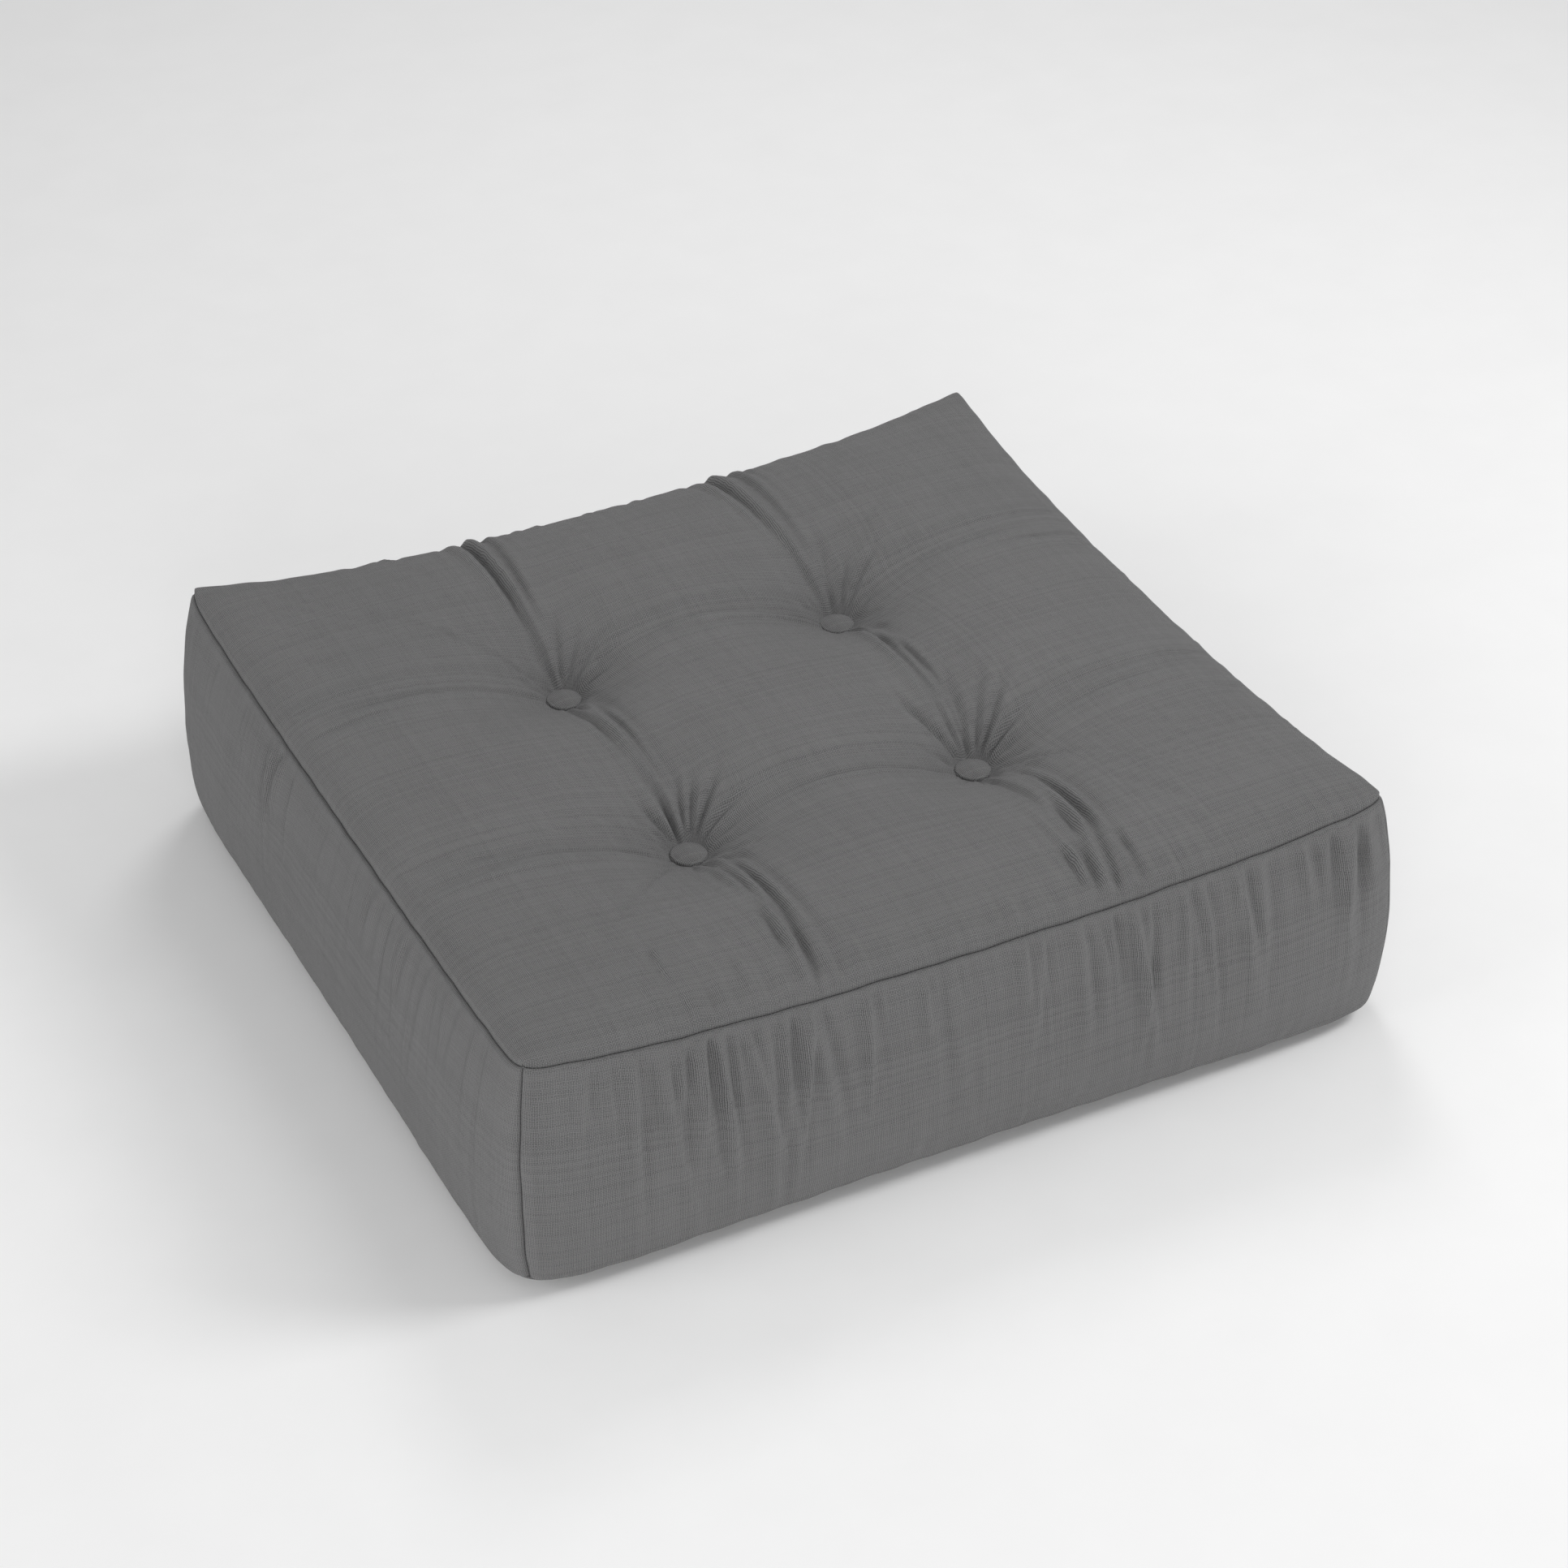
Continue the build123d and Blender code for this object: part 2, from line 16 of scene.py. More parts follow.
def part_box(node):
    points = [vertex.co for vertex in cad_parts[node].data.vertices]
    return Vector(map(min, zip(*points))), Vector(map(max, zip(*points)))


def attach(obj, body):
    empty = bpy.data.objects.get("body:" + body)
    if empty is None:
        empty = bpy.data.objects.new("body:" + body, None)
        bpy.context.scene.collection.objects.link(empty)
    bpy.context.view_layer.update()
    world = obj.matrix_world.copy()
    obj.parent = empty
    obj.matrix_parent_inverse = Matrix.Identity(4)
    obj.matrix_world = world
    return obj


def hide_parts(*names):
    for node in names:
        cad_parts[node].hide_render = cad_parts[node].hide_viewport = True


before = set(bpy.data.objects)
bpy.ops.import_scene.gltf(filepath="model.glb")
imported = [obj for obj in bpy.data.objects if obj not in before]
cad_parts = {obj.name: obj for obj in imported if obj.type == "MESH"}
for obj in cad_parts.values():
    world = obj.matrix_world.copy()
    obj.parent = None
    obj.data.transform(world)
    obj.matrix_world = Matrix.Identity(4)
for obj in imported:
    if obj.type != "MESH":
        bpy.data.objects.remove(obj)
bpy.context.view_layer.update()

LOG = logging.getLogger("floor_cushion")
MM = 0.001
CUSHION = "cushion"
CLOTH_UV = "cloth"


class Face(Enum):
    """The six faces of the boxed cover, with their outward direction."""

    TOP = (0, 0, 1)
    BOTTOM = (0, 0, -1)
    FRONT = (0, -1, 0)
    BACK = (0, 1, 0)
    LEFT = (-1, 0, 0)
    RIGHT = (1, 0, 0)

    @property
    def out(self) -> np.ndarray:
        """The outward direction as an array."""
        return np.array(self.value, float)


# Node graphs


class Graph:
    """Adds nodes to one node tree and links them."""

    def __init__(self, tree: bpy.types.NodeTree) -> None:
        """Keep the tree to build in."""
        self.tree = tree

    def node(self, kind: str, **settings: object) -> bpy.types.Node:
        """Add a node.

        Args:
            kind: The node's type name without its ShaderNode prefix.
            **settings: Properties to set on it.

        Returns:
            The new node.
        """
        made = self.tree.nodes.new(f"ShaderNode{kind}")
        for name, value in settings.items():
            setattr(made, name, value)
        return made

    def plug(self, target: bpy.types.NodeSocket, source: object) -> None:
        """Link a socket into a target, or set the target's own value.

        Args:
            target: The input socket.
            source: An output socket, a number or a sequence of numbers.
        """
        if isinstance(source, bpy.types.NodeSocket):
            self.tree.links.new(source, target)
        else:
            target.default_value = source

    def math(self, operation: str, *values: object) -> bpy.types.NodeSocket:
        """Add a Math node.

        Args:
            operation: The Math node's operation.
            *values: Its inputs, as sockets or numbers.

        Returns:
            Its output.
        """
        made = self.node("Math", operation=operation)
        for target, value in zip(made.inputs, values):
            self.plug(target, value)
        return made.outputs[0]

    def blend(self, amount: object, low: object, high: object) -> bpy.types.NodeSocket:
        """Mix two colours.

        Args:
            amount: The share of the second colour.
            low: The first colour.
            high: The second colour.

        Returns:
            The mixed colour.
        """
        made = self.node("Mix", data_type="RGBA")
        self.plug(made.inputs["Factor"], amount)
        self.plug(made.inputs[6], low)
        self.plug(made.inputs[7], high)
        return made.outputs[2]

    def spread(
        self, value: object, low: float, high: float, to_low: float, to_high: float
    ) -> bpy.types.NodeSocket:
        """Map a value from one range to another, clamped.

        Args:
            value: The socket to map.
            low: The source range's start.
            high: The source range's end.
            to_low: The result's start.
            to_high: The result's end.

        Returns:
            The mapped value.
        """
        made = self.node("MapRange")
        for target, number in zip(made.inputs, (value, low, high, to_low, to_high)):
            self.plug(target, number)
        return made.outputs[0]

    def noise(
        self, vector: object, scale: object, detail: float = 2.0, roughness: float = 0.5
    ) -> bpy.types.NodeSocket:
        """Add a noise texture.

        Args:
            vector: Where it is read.
            scale: Features per metre.
            detail: Octaves.
            roughness: How strong the finer octaves are.

        Returns:
            Its value.
        """
        made = self.node("TexNoise")
        self.plug(made.inputs["Vector"], vector)
        self.plug(made.inputs["Scale"], scale)
        self.plug(made.inputs["Detail"], detail)
        self.plug(made.inputs["Roughness"], roughness)
        return made.outputs["Fac"]

    def vector(self, operation: str, first: object, second: object) -> bpy.types.NodeSocket:
        """Add a Vector Math node.

        Args:
            operation: The node's operation.
            first: Its vector.
            second: Its other vector, or its scale.

        Returns:
            Its output.
        """
        made = self.node("VectorMath", operation=operation)
        self.plug(made.inputs[0], first)
        self.plug(made.inputs["Scale"] if operation == "SCALE" else made.inputs[1], second)
        return made.outputs[0]


class Effects:
    """Node groups that several finishes share, each built once."""

    def __init__(self) -> None:
        """Build every shared group."""
        self.weave = self._weave()
        self.fluff = self._fluff()
        self.wear = self._wear()

    @staticmethod
    def _group(name: str, inputs: dict[str, tuple[str, object]], outputs: dict[str, str]) -> tuple:
        """Start a group.

        Args:
            name: The group's name.
            inputs: Each input's socket type and default.
            outputs: Each output's socket type.

        Returns:
            The group, its graph, its input node and its output node.
        """
        tree = bpy.data.node_groups.new(name, "ShaderNodeTree")
        for label, (kind, default) in inputs.items():
            socket = tree.interface.new_socket(label, in_out="INPUT", socket_type=kind)
            if default is not None:
                socket.default_value = default
        for label, kind in outputs.items():
            tree.interface.new_socket(label, in_out="OUTPUT", socket_type=kind)
        graph = Graph(tree)
        return tree, graph, tree.nodes.new("NodeGroupInput"), tree.nodes.new("NodeGroupOutput")

    def _weave(self) -> bpy.types.NodeTree:
        """Plain weave: yarn height, which yarn is on top, and each yarn's own thickness and shade.

        Returns:
            The group.
        """
        tree, g, given, out = self._group(
            "Plain weave",
            {
                "Vector": ("NodeSocketVector", None),
                "Yarns per metre": ("NodeSocketFloat", 900.0),
                "Waver": ("NodeSocketFloat", 0.25),
            },
            {"Height": "NodeSocketFloat", "Warp on top": "NodeSocketFloat", "Shade": "NodeSocketFloat"},
        )
        drift = g.node("TexNoise")
        g.plug(drift.inputs["Vector"], given.outputs["Vector"])
        g.plug(drift.inputs["Scale"], 130.0)
        g.plug(drift.inputs["Detail"], 1.0)
        centred = g.vector("SUBTRACT", drift.outputs["Color"], (0.5, 0.5, 0.5))
        moved = g.vector("SCALE", centred, g.math("MULTIPLY", given.outputs["Waver"], 4.0))
        yarns = g.vector("SCALE", given.outputs["Vector"], given.outputs["Yarns per metre"])
        parts = g.node("SeparateXYZ")
        g.plug(parts.inputs[0], g.vector("ADD", yarns, moved))
        u, v = parts.outputs[0], parts.outputs[1]
        heights = []
        for across, along, phase in ((u, v, 0.0), (v, u, math.pi)):
            which = g.math("FLOOR", across)
            step = g.math("ADD", g.math("SUBTRACT", along, 0.5), which)
            turn = g.math("MULTIPLY_ADD", step, math.pi, phase)
            level = g.math("MULTIPLY_ADD", g.math("COSINE", turn), 0.5, 0.5)
            round_ = g.math("SINE", g.math("MULTIPLY", g.math("FRACT", across), math.pi))
            thick = g.node("TexWhiteNoise", noise_dimensions="1D")
            g.plug(thick.inputs["W"], g.math("ADD", which, 7.0 * phase))
            profile = g.math("POWER", g.math("MAXIMUM", round_, 0.0001), 0.6)
            height = g.math("MULTIPLY", profile, g.math("MULTIPLY_ADD", level, 0.8, 0.2))
            swell = g.math("MULTIPLY_ADD", thick.outputs["Value"], 0.14, 0.93)
            heights.append((g.math("MULTIPLY", height, swell), thick.outputs["Value"]))
        (warp, warp_shade), (weft, weft_shade) = heights
        on_top = g.math("GREATER_THAN", warp, weft)
        shade = g.node("Mix", data_type="FLOAT")
        g.plug(shade.inputs[0], on_top)
        g.plug(shade.inputs[2], weft_shade)
        g.plug(shade.inputs[3], warp_shade)
        g.plug(out.inputs["Height"], g.math("MAXIMUM", warp, weft))
        g.plug(out.inputs["Warp on top"], on_top)
        g.plug(out.inputs["Shade"], shade.outputs[0])
        return tree

    def _fluff(self) -> bpy.types.NodeTree:
        """Loose fibre: slubs in both yarn directions, and a soft mottle.

        Returns:
            The group.
        """
        tree, g, given, out = self._group(
            "Slubs and fibre",
            {"Vector": ("NodeSocketVector", None), "Length": ("NodeSocketFloat", 26.0)},
            {"Slubs": "NodeSocketFloat", "Mottle": "NodeSocketFloat", "Fibre": "NodeSocketFloat"},
        )
        vector = given.outputs["Vector"]
        scale = given.outputs["Length"]
        long_x = g.noise(g.vector("MULTIPLY", vector, (1.6, 26.0, 1.0)), scale, 2.0, 0.6)
        long_y = g.noise(g.vector("MULTIPLY", vector, (26.0, 1.6, 1.0)), scale, 2.0, 0.6)
        g.plug(out.inputs["Slubs"], g.math("MULTIPLY", g.math("ADD", long_x, long_y), 0.5))
        g.plug(out.inputs["Mottle"], g.noise(vector, 14.0, 3.0, 0.55))
        g.plug(out.inputs["Fibre"], g.noise(vector, 2100.0, 2.0, 0.7))
        return tree

    def _wear(self) -> bpy.types.NodeTree:
        """Fine scratches and rubbed patches on small metal parts.

        Returns:
            The group.
        """
        tree, g, given, out = self._group(
            "Rubbed metal",
            {"Vector": ("NodeSocketVector", None), "Scratches per metre": ("NodeSocketFloat", 900.0)},
            {"Scratches": "NodeSocketFloat", "Patches": "NodeSocketFloat"},
        )
        vector = given.outputs["Vector"]
        drawn = g.vector("MULTIPLY", vector, (1.0, 1.0, 14.0))
        fine = g.noise(drawn, given.outputs["Scratches per metre"], 3.0, 0.6)
        g.plug(out.inputs["Scratches"], g.spread(fine, 0.35, 0.75, 0.0, 1.0))
        g.plug(out.inputs["Patches"], g.spread(g.noise(vector, 320.0, 3.0, 0.6), 0.4, 0.7, 0.0, 1.0))
        return tree


class Space(Enum):
    """Where a finish reads its pattern from."""

    CLOTH = "the piece's own cloth map"
    PIECE = "the piece's own axes"


@dataclass(frozen=True)
class Finish:
    """What every finish has: a name, two tones and a way to start its material."""

    name: str
    dark: tuple[float, float, float]
    light: tuple[float, float, float]
    roughness: float = 0.9
    space: Space = Space.PIECE

    def tint(self, graph: Graph, shader: bpy.types.Node, tone: bpy.types.NodeSocket) -> None:
        """Colour the shader from the dark tone to the light one."""
        graph.plug(shader.inputs["Base Color"], graph.blend(tone, (*self.dark, 1), (*self.light, 1)))

    def start(self) -> tuple[bpy.types.Material, Graph, bpy.types.Node, bpy.types.NodeSocket]:
        """Make the material with its shader and its pattern vector.

        Returns:
            The material, its graph, its shader and the vector its pattern is read from.
        """
        material = bpy.data.materials.new(self.name)
        material.use_nodes = True
        graph = Graph(material.node_tree)
        shader = material.node_tree.nodes["Principled BSDF"]
        if self.space is Space.CLOTH:
            vector = graph.node("UVMap", uv_map=CLOTH_UV).outputs["UV"]
        else:
            vector = graph.node("TexCoord").outputs["Object"]
        return material, graph, shader, vector

    @staticmethod
    def group(
        graph: Graph, tree: bpy.types.NodeTree, vector: bpy.types.NodeSocket, **inputs: float
    ) -> bpy.types.Node:
        """Place a shared group.

        Args:
            graph: The material's graph.
            tree: The group.
            vector: What the group's pattern is read from.
            **inputs: Its other inputs, with underscores for spaces.

        Returns:
            The group's node.
        """
        made = graph.node("Group", node_tree=tree)
        graph.plug(made.inputs["Vector"], vector)
        for label, value in inputs.items():
            graph.plug(made.inputs[label.replace("_", " ")], value)
        return made

    @staticmethod
    def relief(
        graph: Graph, shader: bpy.types.Node, height: object, distance: float, strength: float
    ) -> None:
        """Send a height to the shader's normal through a Bump node.

        Args:
            graph: The material's graph.
            shader: The shader.
            height: The height socket.
            distance: How high the relief stands, in metres.
            strength: The share of it that shows.
        """
        bump = graph.node("Bump")
        bump.inputs["Distance"].default_value = distance
        bump.inputs["Strength"].default_value = strength
        graph.plug(bump.inputs["Height"], height)
        graph.plug(shader.inputs["Normal"], bump.outputs["Normal"])


@dataclass(frozen=True)
class Canvas(Finish):
    """Heathered plain-weave canvas, with painted shade in the gaps between its yarns and painted light on the
    yarn crests.
    """

    yarns: float = 880.0
    waver: float = 0.3
    relief_height: float = 0.00055
    # Strength of the painted shade in the yarn gaps and the painted light on the yarn crests.
    gap_shade_strength: float = 0.85

    def material(self, effects: Effects) -> bpy.types.Material:
        """Build the canvas.

        Args:
            effects: The shared groups.

        Returns:
            The material.
        """
        material, g, shader, vector = self.start()
        weave = self.group(g, effects.weave, vector, Yarns_per_metre=self.yarns, Waver=self.waver)
        fluff = self.group(g, effects.fluff, vector, Length=90.0)
        height = weave.outputs["Height"]
        # Painted shade and light: the tone is darker in the gaps between yarns and lighter on the yarn
        # crests, as light falls on the weave.
        gap_shade = g.spread(height, 0.15, 0.85, -self.gap_shade_strength, self.gap_shade_strength)
        yarn = g.spread(weave.outputs["Shade"], 0.0, 1.0, -0.08, 0.08)
        cross = g.spread(weave.outputs["Warp on top"], 0.0, 1.0, -0.28, 0.28)
        slubs = g.spread(fluff.outputs["Slubs"], 0.3, 0.7, -0.14, 0.14)
        mottle = g.spread(fluff.outputs["Mottle"], 0.3, 0.7, -0.05, 0.05)
        fibre = g.spread(fluff.outputs["Fibre"], 0.25, 0.75, -0.18, 0.18)
        tone = g.math("ADD", 0.5, gap_shade)
        for part in (yarn, cross, slubs, mottle, fibre):
            tone = g.math("ADD", tone, part)
        self.tint(g, shader, g.math("MINIMUM", g.math("MAXIMUM", tone, 0.0), 1.0))
        g.plug(shader.inputs["Roughness"], g.spread(height, 0.0, 1.0, 1.0, self.roughness))
        shader.inputs["Specular IOR Level"].default_value = 0.22
        shader.inputs["Sheen Weight"].default_value = 0.12
        shader.inputs["Sheen Roughness"].default_value = 0.55
        bulk = g.math("MULTIPLY_ADD", fluff.outputs["Slubs"], 0.5, height)
        bulk = g.math("MULTIPLY_ADD", fluff.outputs["Fibre"], 0.35, bulk)
        self.relief(g, shader, bulk, self.relief_height, 0.85)
        return material


@dataclass(frozen=True)
class Spun(Finish):
    """Twisted thread or twine."""

    twists: float = 900.0
    relief_height: float = 0.0002

    def material(self, effects: Effects) -> bpy.types.Material:
        """Build the twisted yarn.

        Args:
            effects: The shared groups.

        Returns:
            The material.
        """
        material, g, shader, vector = self.start()
        parts = g.node("SeparateXYZ")
        g.plug(parts.inputs[0], vector)
        slope = g.math("ADD", g.math("ADD", parts.outputs[0], parts.outputs[1]), parts.outputs[2])
        turn = g.math("MULTIPLY", slope, self.twists * 2 * math.pi)
        twist = g.math("MULTIPLY_ADD", g.math("SINE", turn), 0.5, 0.5)
        fluff = self.group(g, effects.fluff, vector)
        fibre = g.spread(fluff.outputs["Fibre"], 0.3, 0.7, 0.0, 0.4)
        tone = g.math("ADD", g.math("MULTIPLY", twist, 0.6), fibre)
        self.tint(g, shader, tone)
        g.plug(shader.inputs["Roughness"], g.spread(twist, 0.0, 1.0, 1.0, self.roughness))
        shader.inputs["Sheen Weight"].default_value = 0.15
        self.relief(g, shader, tone, self.relief_height, 0.8)
        return material


@dataclass(frozen=True)
class Fibrefill(Finish):
    """Bonded polyester wadding."""

    def material(self, effects: Effects) -> bpy.types.Material:
        """Build the wadding.

        Args:
            effects: The shared groups.

        Returns:
            The material.
        """
        material, g, shader, vector = self.start()
        fluff = self.group(g, effects.fluff, vector, Length=60.0)
        strands = g.noise(vector, 420.0, 5.0, 0.75)
        tone = g.math("MULTIPLY_ADD", fluff.outputs["Slubs"], 0.5, g.spread(strands, 0.3, 0.7, 0.0, 0.5))
        self.tint(g, shader, tone)
        g.plug(shader.inputs["Roughness"], g.spread(strands, 0.3, 0.7, self.roughness, 1.0))
        shader.inputs["Sheen Weight"].default_value = 0.3
        self.relief(g, shader, strands, 0.0015, 0.9)
        return material


@dataclass(frozen=True)
class OpenCellFoam(Finish):
    """Upholstery foam with its cells cut open, and painted shade in the open pores."""

    cells: float = 900.0

    def material(self, effects: Effects) -> bpy.types.Material:
        """Build the foam.

        Args:
            effects: The shared groups.

        Returns:
            The material.
        """
        material, g, shader, vector = self.start()
        pores = g.node("TexVoronoi")
        g.plug(pores.inputs["Vector"], vector)
        g.plug(pores.inputs["Scale"], self.cells)
        fluff = self.group(g, effects.fluff, vector)
        # Painted shade: the tone is darker towards each pore's centre and lighter on the cell rims.
        rim = g.spread(pores.outputs["Distance"], 0.1, 0.55, 0.0, 0.8)
        tone = g.math("MULTIPLY_ADD", fluff.outputs["Mottle"], 0.3, rim)
        self.tint(g, shader, tone)
        g.plug(shader.inputs["Roughness"], g.spread(rim, 0.0, 0.8, 1.0, self.roughness))
        self.relief(g, shader, rim, 0.0006, 0.8)
        return material


@dataclass(frozen=True)
class Tape(Finish):
    """Ribbed polyester zip tape, woven in a narrow herringbone."""

    ribs: float = 1400.0

    def material(self, effects: Effects) -> bpy.types.Material:
        """Build the tape.

        Args:
            effects: The shared groups.

        Returns:
            The material.
        """
        material, g, shader, vector = self.start()
        parts = g.node("SeparateXYZ")
        g.plug(parts.inputs[0], vector)
        zigzag = g.math("PINGPONG", parts.outputs[2], 0.0015)
        turn = g.math("MULTIPLY", g.math("ADD", parts.outputs[0], zigzag), self.ribs * 2 * math.pi)
        ribs = g.math("MULTIPLY_ADD", g.math("SINE", turn), 0.5, 0.5)
        fluff = self.group(g, effects.fluff, vector)
        tone = g.math("MULTIPLY_ADD", fluff.outputs["Fibre"], 0.5, g.math("MULTIPLY", ribs, 0.5))
        self.tint(g, shader, tone)
        g.plug(shader.inputs["Roughness"], g.spread(ribs, 0.0, 1.0, 0.95, self.roughness))
        self.relief(g, shader, ribs, 0.00015, 0.8)
        return material


@dataclass(frozen=True)
class Rubbed(Finish):
    """A small hard part, a little rubbed: drawn nylon, or pressed or cast metal."""

    metallic: float = 1.0
    scratches: float = 900.0
    scratch_rough: float = 0.2
    relief_height: float = 0.00004
    relief_share: float = 0.4

    def material(self, effects: Effects) -> bpy.types.Material:
        """Build the rubbed surface.

        Args:
            effects: The shared groups.

        Returns:
            The material.
        """
        material, g, shader, vector = self.start()
        wear = self.group(g, effects.wear, vector, Scratches_per_metre=self.scratches)
        self.tint(g, shader, wear.outputs["Patches"])
        shader.inputs["Metallic"].default_value = self.metallic
        scratches, most = wear.outputs["Scratches"], self.roughness + self.scratch_rough
        g.plug(shader.inputs["Roughness"], g.spread(scratches, 0.0, 1.0, self.roughness, most))
        self.relief(g, shader, scratches, self.relief_height, self.relief_share)
        return material


@dataclass(frozen=True)
class Sweep(Finish):
    """Matt studio paper for the floor."""

    def material(self, effects: Effects) -> bpy.types.Material:
        """Build the paper.

        Args:
            effects: The shared groups.

        Returns:
            The material.
        """
        material, g, shader, vector = self.start()
        fluff = self.group(g, effects.fluff, vector)
        tone = g.spread(fluff.outputs["Mottle"], 0.3, 0.7, 0.0, 1.0)
        self.tint(g, shader, tone)
        g.plug(shader.inputs["Roughness"], g.spread(tone, 0.0, 1.0, self.roughness, 1.0))
        return material


CANVAS_DARK, CANVAS_LIGHT = (0.014, 0.014, 0.0145), (0.205, 0.204, 0.205)


class Wardrobe:
    """Every finish of the cushion, by the record's slot name."""

    FINISHES = {
        "cover_cloth": Canvas("Charcoal canvas", CANVAS_DARK, CANVAS_LIGHT, 0.88, Space.CLOTH),
        "button_cloth": Canvas("Charcoal button canvas", CANVAS_DARK, CANVAS_LIGHT, 0.88, Space.CLOTH),
        "sewing_thread": Spun("Dark sewing thread", (0.010, 0.010, 0.010), (0.035, 0.035, 0.036), 0.7),
        "wadding": Fibrefill("White polyester wadding", (0.55, 0.55, 0.53), (0.86, 0.86, 0.84), 0.9),
        "foam": OpenCellFoam("Cream upholstery foam", (0.42, 0.37, 0.25), (0.80, 0.74, 0.56), 0.85),
        "tufting_twine": Spun("Waxed linen twine", (0.22, 0.19, 0.14), (0.50, 0.45, 0.36), 0.6, twists=450.0),
        "zip_tape": Tape("Charcoal zip tape", (0.030, 0.030, 0.031), (0.105, 0.105, 0.106), 0.8),
        "zip_coil": Rubbed(
            "Charcoal nylon coil",
            (0.035, 0.035, 0.036),
            (0.080, 0.080, 0.082),
            0.32,
            metallic=0.0,
            scratches=1600.0,
            scratch_rough=0.28,
            relief_height=0.00003,
            relief_share=0.5,
        ),
        "zip_metal": Rubbed("Gunmetal zip parts", (0.16, 0.16, 0.17), (0.36, 0.36, 0.37), 0.32),
        "button_metal": Rubbed("Pressed tinned steel", (0.48, 0.48, 0.47), (0.68, 0.67, 0.66), 0.30),
        "floor": Sweep("Pale studio paper", (0.93, 0.93, 0.93), (0.945, 0.945, 0.945), 0.9),
    }

    def __init__(self) -> None:
        """Build each finish's material once."""
        effects = Effects()
        self.materials = {slot: finish.material(effects) for slot, finish in self.FINISHES.items()}

    def dress(self, piece: bpy.types.Object, slot: str) -> None:
        """Give a piece its finish."""
        piece.data.materials.clear()
        piece.data.materials.append(self.materials[slot])


# Mesh helpers


def smooth_step(low: float, high: float, value: np.ndarray) -> np.ndarray:
    """Rise smoothly from 0 to 1 between two values."""
    share = np.clip((value - low) / (high - low), 0, 1)
    return share * share * (3 - 2 * share)


def grid_quads(rows: int, columns: int, flip: bool, closed: bool = False) -> list[tuple[int, int, int, int]]:
    """The quads of a grid of points.

    Args:
        rows: Points along the first direction.
        columns: Points along the second direction.
        flip: Whether the faces turn the other way.
        closed: Whether the second direction runs round to its start.

    Returns:
        Vertex numbers of each quad.
    """
    quads = []
    across = columns if closed else columns - 1
    for i in range(rows - 1):
        for j in range(across):
            k = (j + 1) % columns
            quad = (i * columns + j, (i + 1) * columns + j, (i + 1) * columns + k, i * columns + k)
            quads.append(quad[::-1] if flip else quad)
    return quads


def make_piece(
    name: str, points: np.ndarray, quads: Sequence, cloth_map: Optional[np.ndarray] = None
) -> bpy.types.Object:
    """Make a smooth-shaded mesh object.

    Args:
        name: Its name.
        points: Its vertices.
        quads: Its faces.
        cloth_map: A flat place in the cloth for each vertex, in metres.

    Returns:
        The new object.
    """
    mesh = bpy.data.meshes.new(name)
    mesh.from_pydata(points.reshape(-1, 3).tolist(), [], quads)
    mesh.polygons.foreach_set("use_smooth", [True] * len(mesh.polygons))
    if cloth_map is not None:
        layer = mesh.uv_layers.new(name=CLOTH_UV)
        corner = np.empty(len(mesh.loops), np.int32)
        mesh.loops.foreach_get("vertex_index", corner)
        layer.data.foreach_set("uv", cloth_map.reshape(-1, 2)[corner].astype(np.float32).ravel())
    mesh.update()
    piece = bpy.data.objects.new(name, mesh)
    bpy.context.scene.collection.objects.link(piece)
    return piece


def tube(path: np.ndarray, radius: np.ndarray, sides: int, closed: bool = False) -> tuple[np.ndarray, list]:
    """Sweep a round section along a path.

    Args:
        path: The path's points.
        radius: The section's radius at each point.
        sides: Points round the section.
        closed: Whether the path runs round to its start.

    Returns:
        Vertices and quads.
    """
    if closed:
        along = np.roll(path, -1, 0) - np.roll(path, 1, 0)
    else:
        along = np.gradient(path, axis=0)
    along /= np.linalg.norm(along, axis=1, keepdims=True) + 1e-12
    helper = np.where(np.abs(along[:, 2:3]) > 0.9, [[1.0, 0, 0]], [[0, 0, 1.0]])
    side = np.cross(along, helper)
    side /= np.linalg.norm(side, axis=1, keepdims=True)
    top = np.cross(side, along)
    turn = np.linspace(0, 2 * np.pi, sides, endpoint=False)
    ring = side[:, None] * np.cos(turn)[None, :, None] + top[:, None] * np.sin(turn)[None, :, None]
    points = path[:, None] + ring * np.asarray(radius).reshape(-1, 1, 1)
    rows = len(path)
    quads = grid_quads(rows, sides, False, closed=True)
    if closed:
        last = (rows - 1) * sides
        quads += [(last + j, j, (j + 1) % sides, last + (j + 1) % sides) for j in range(sides)]
    else:
        quads.append(tuple(range(sides)))
        quads.append(tuple(reversed(range((rows - 1) * sides, rows * sides))))
    return points.reshape(-1, 3), quads


def joined(parts: Iterable[tuple[np.ndarray, list]]) -> tuple[np.ndarray, list]:
    """Join several sets of vertices and faces.

    Args:
        parts: The sets.

    Returns:
        All vertices and all faces.
    """
    points, faces, count = [], [], 0
    for part_points, part_faces in parts:
        points.append(part_points)
        faces.extend(tuple(i + count for i in face) for face in part_faces)
        count += len(part_points)
    return np.concatenate(points), faces


def settle(piece: bpy.types.Object, body: str, slot: str, *nodes: str) -> bpy.types.Object:
    """Ride a piece on its body, and hide the CAD nodes it stands for.

    Args:
        piece: The piece.
        body: The CAD body.
        slot: The record's slot; not used.
        *nodes: The CAD nodes it replaces.

    Returns:
        The piece.
    """
    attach(piece, body)
    if nodes:
        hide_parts(*nodes)
    return piece


# The cushion's form


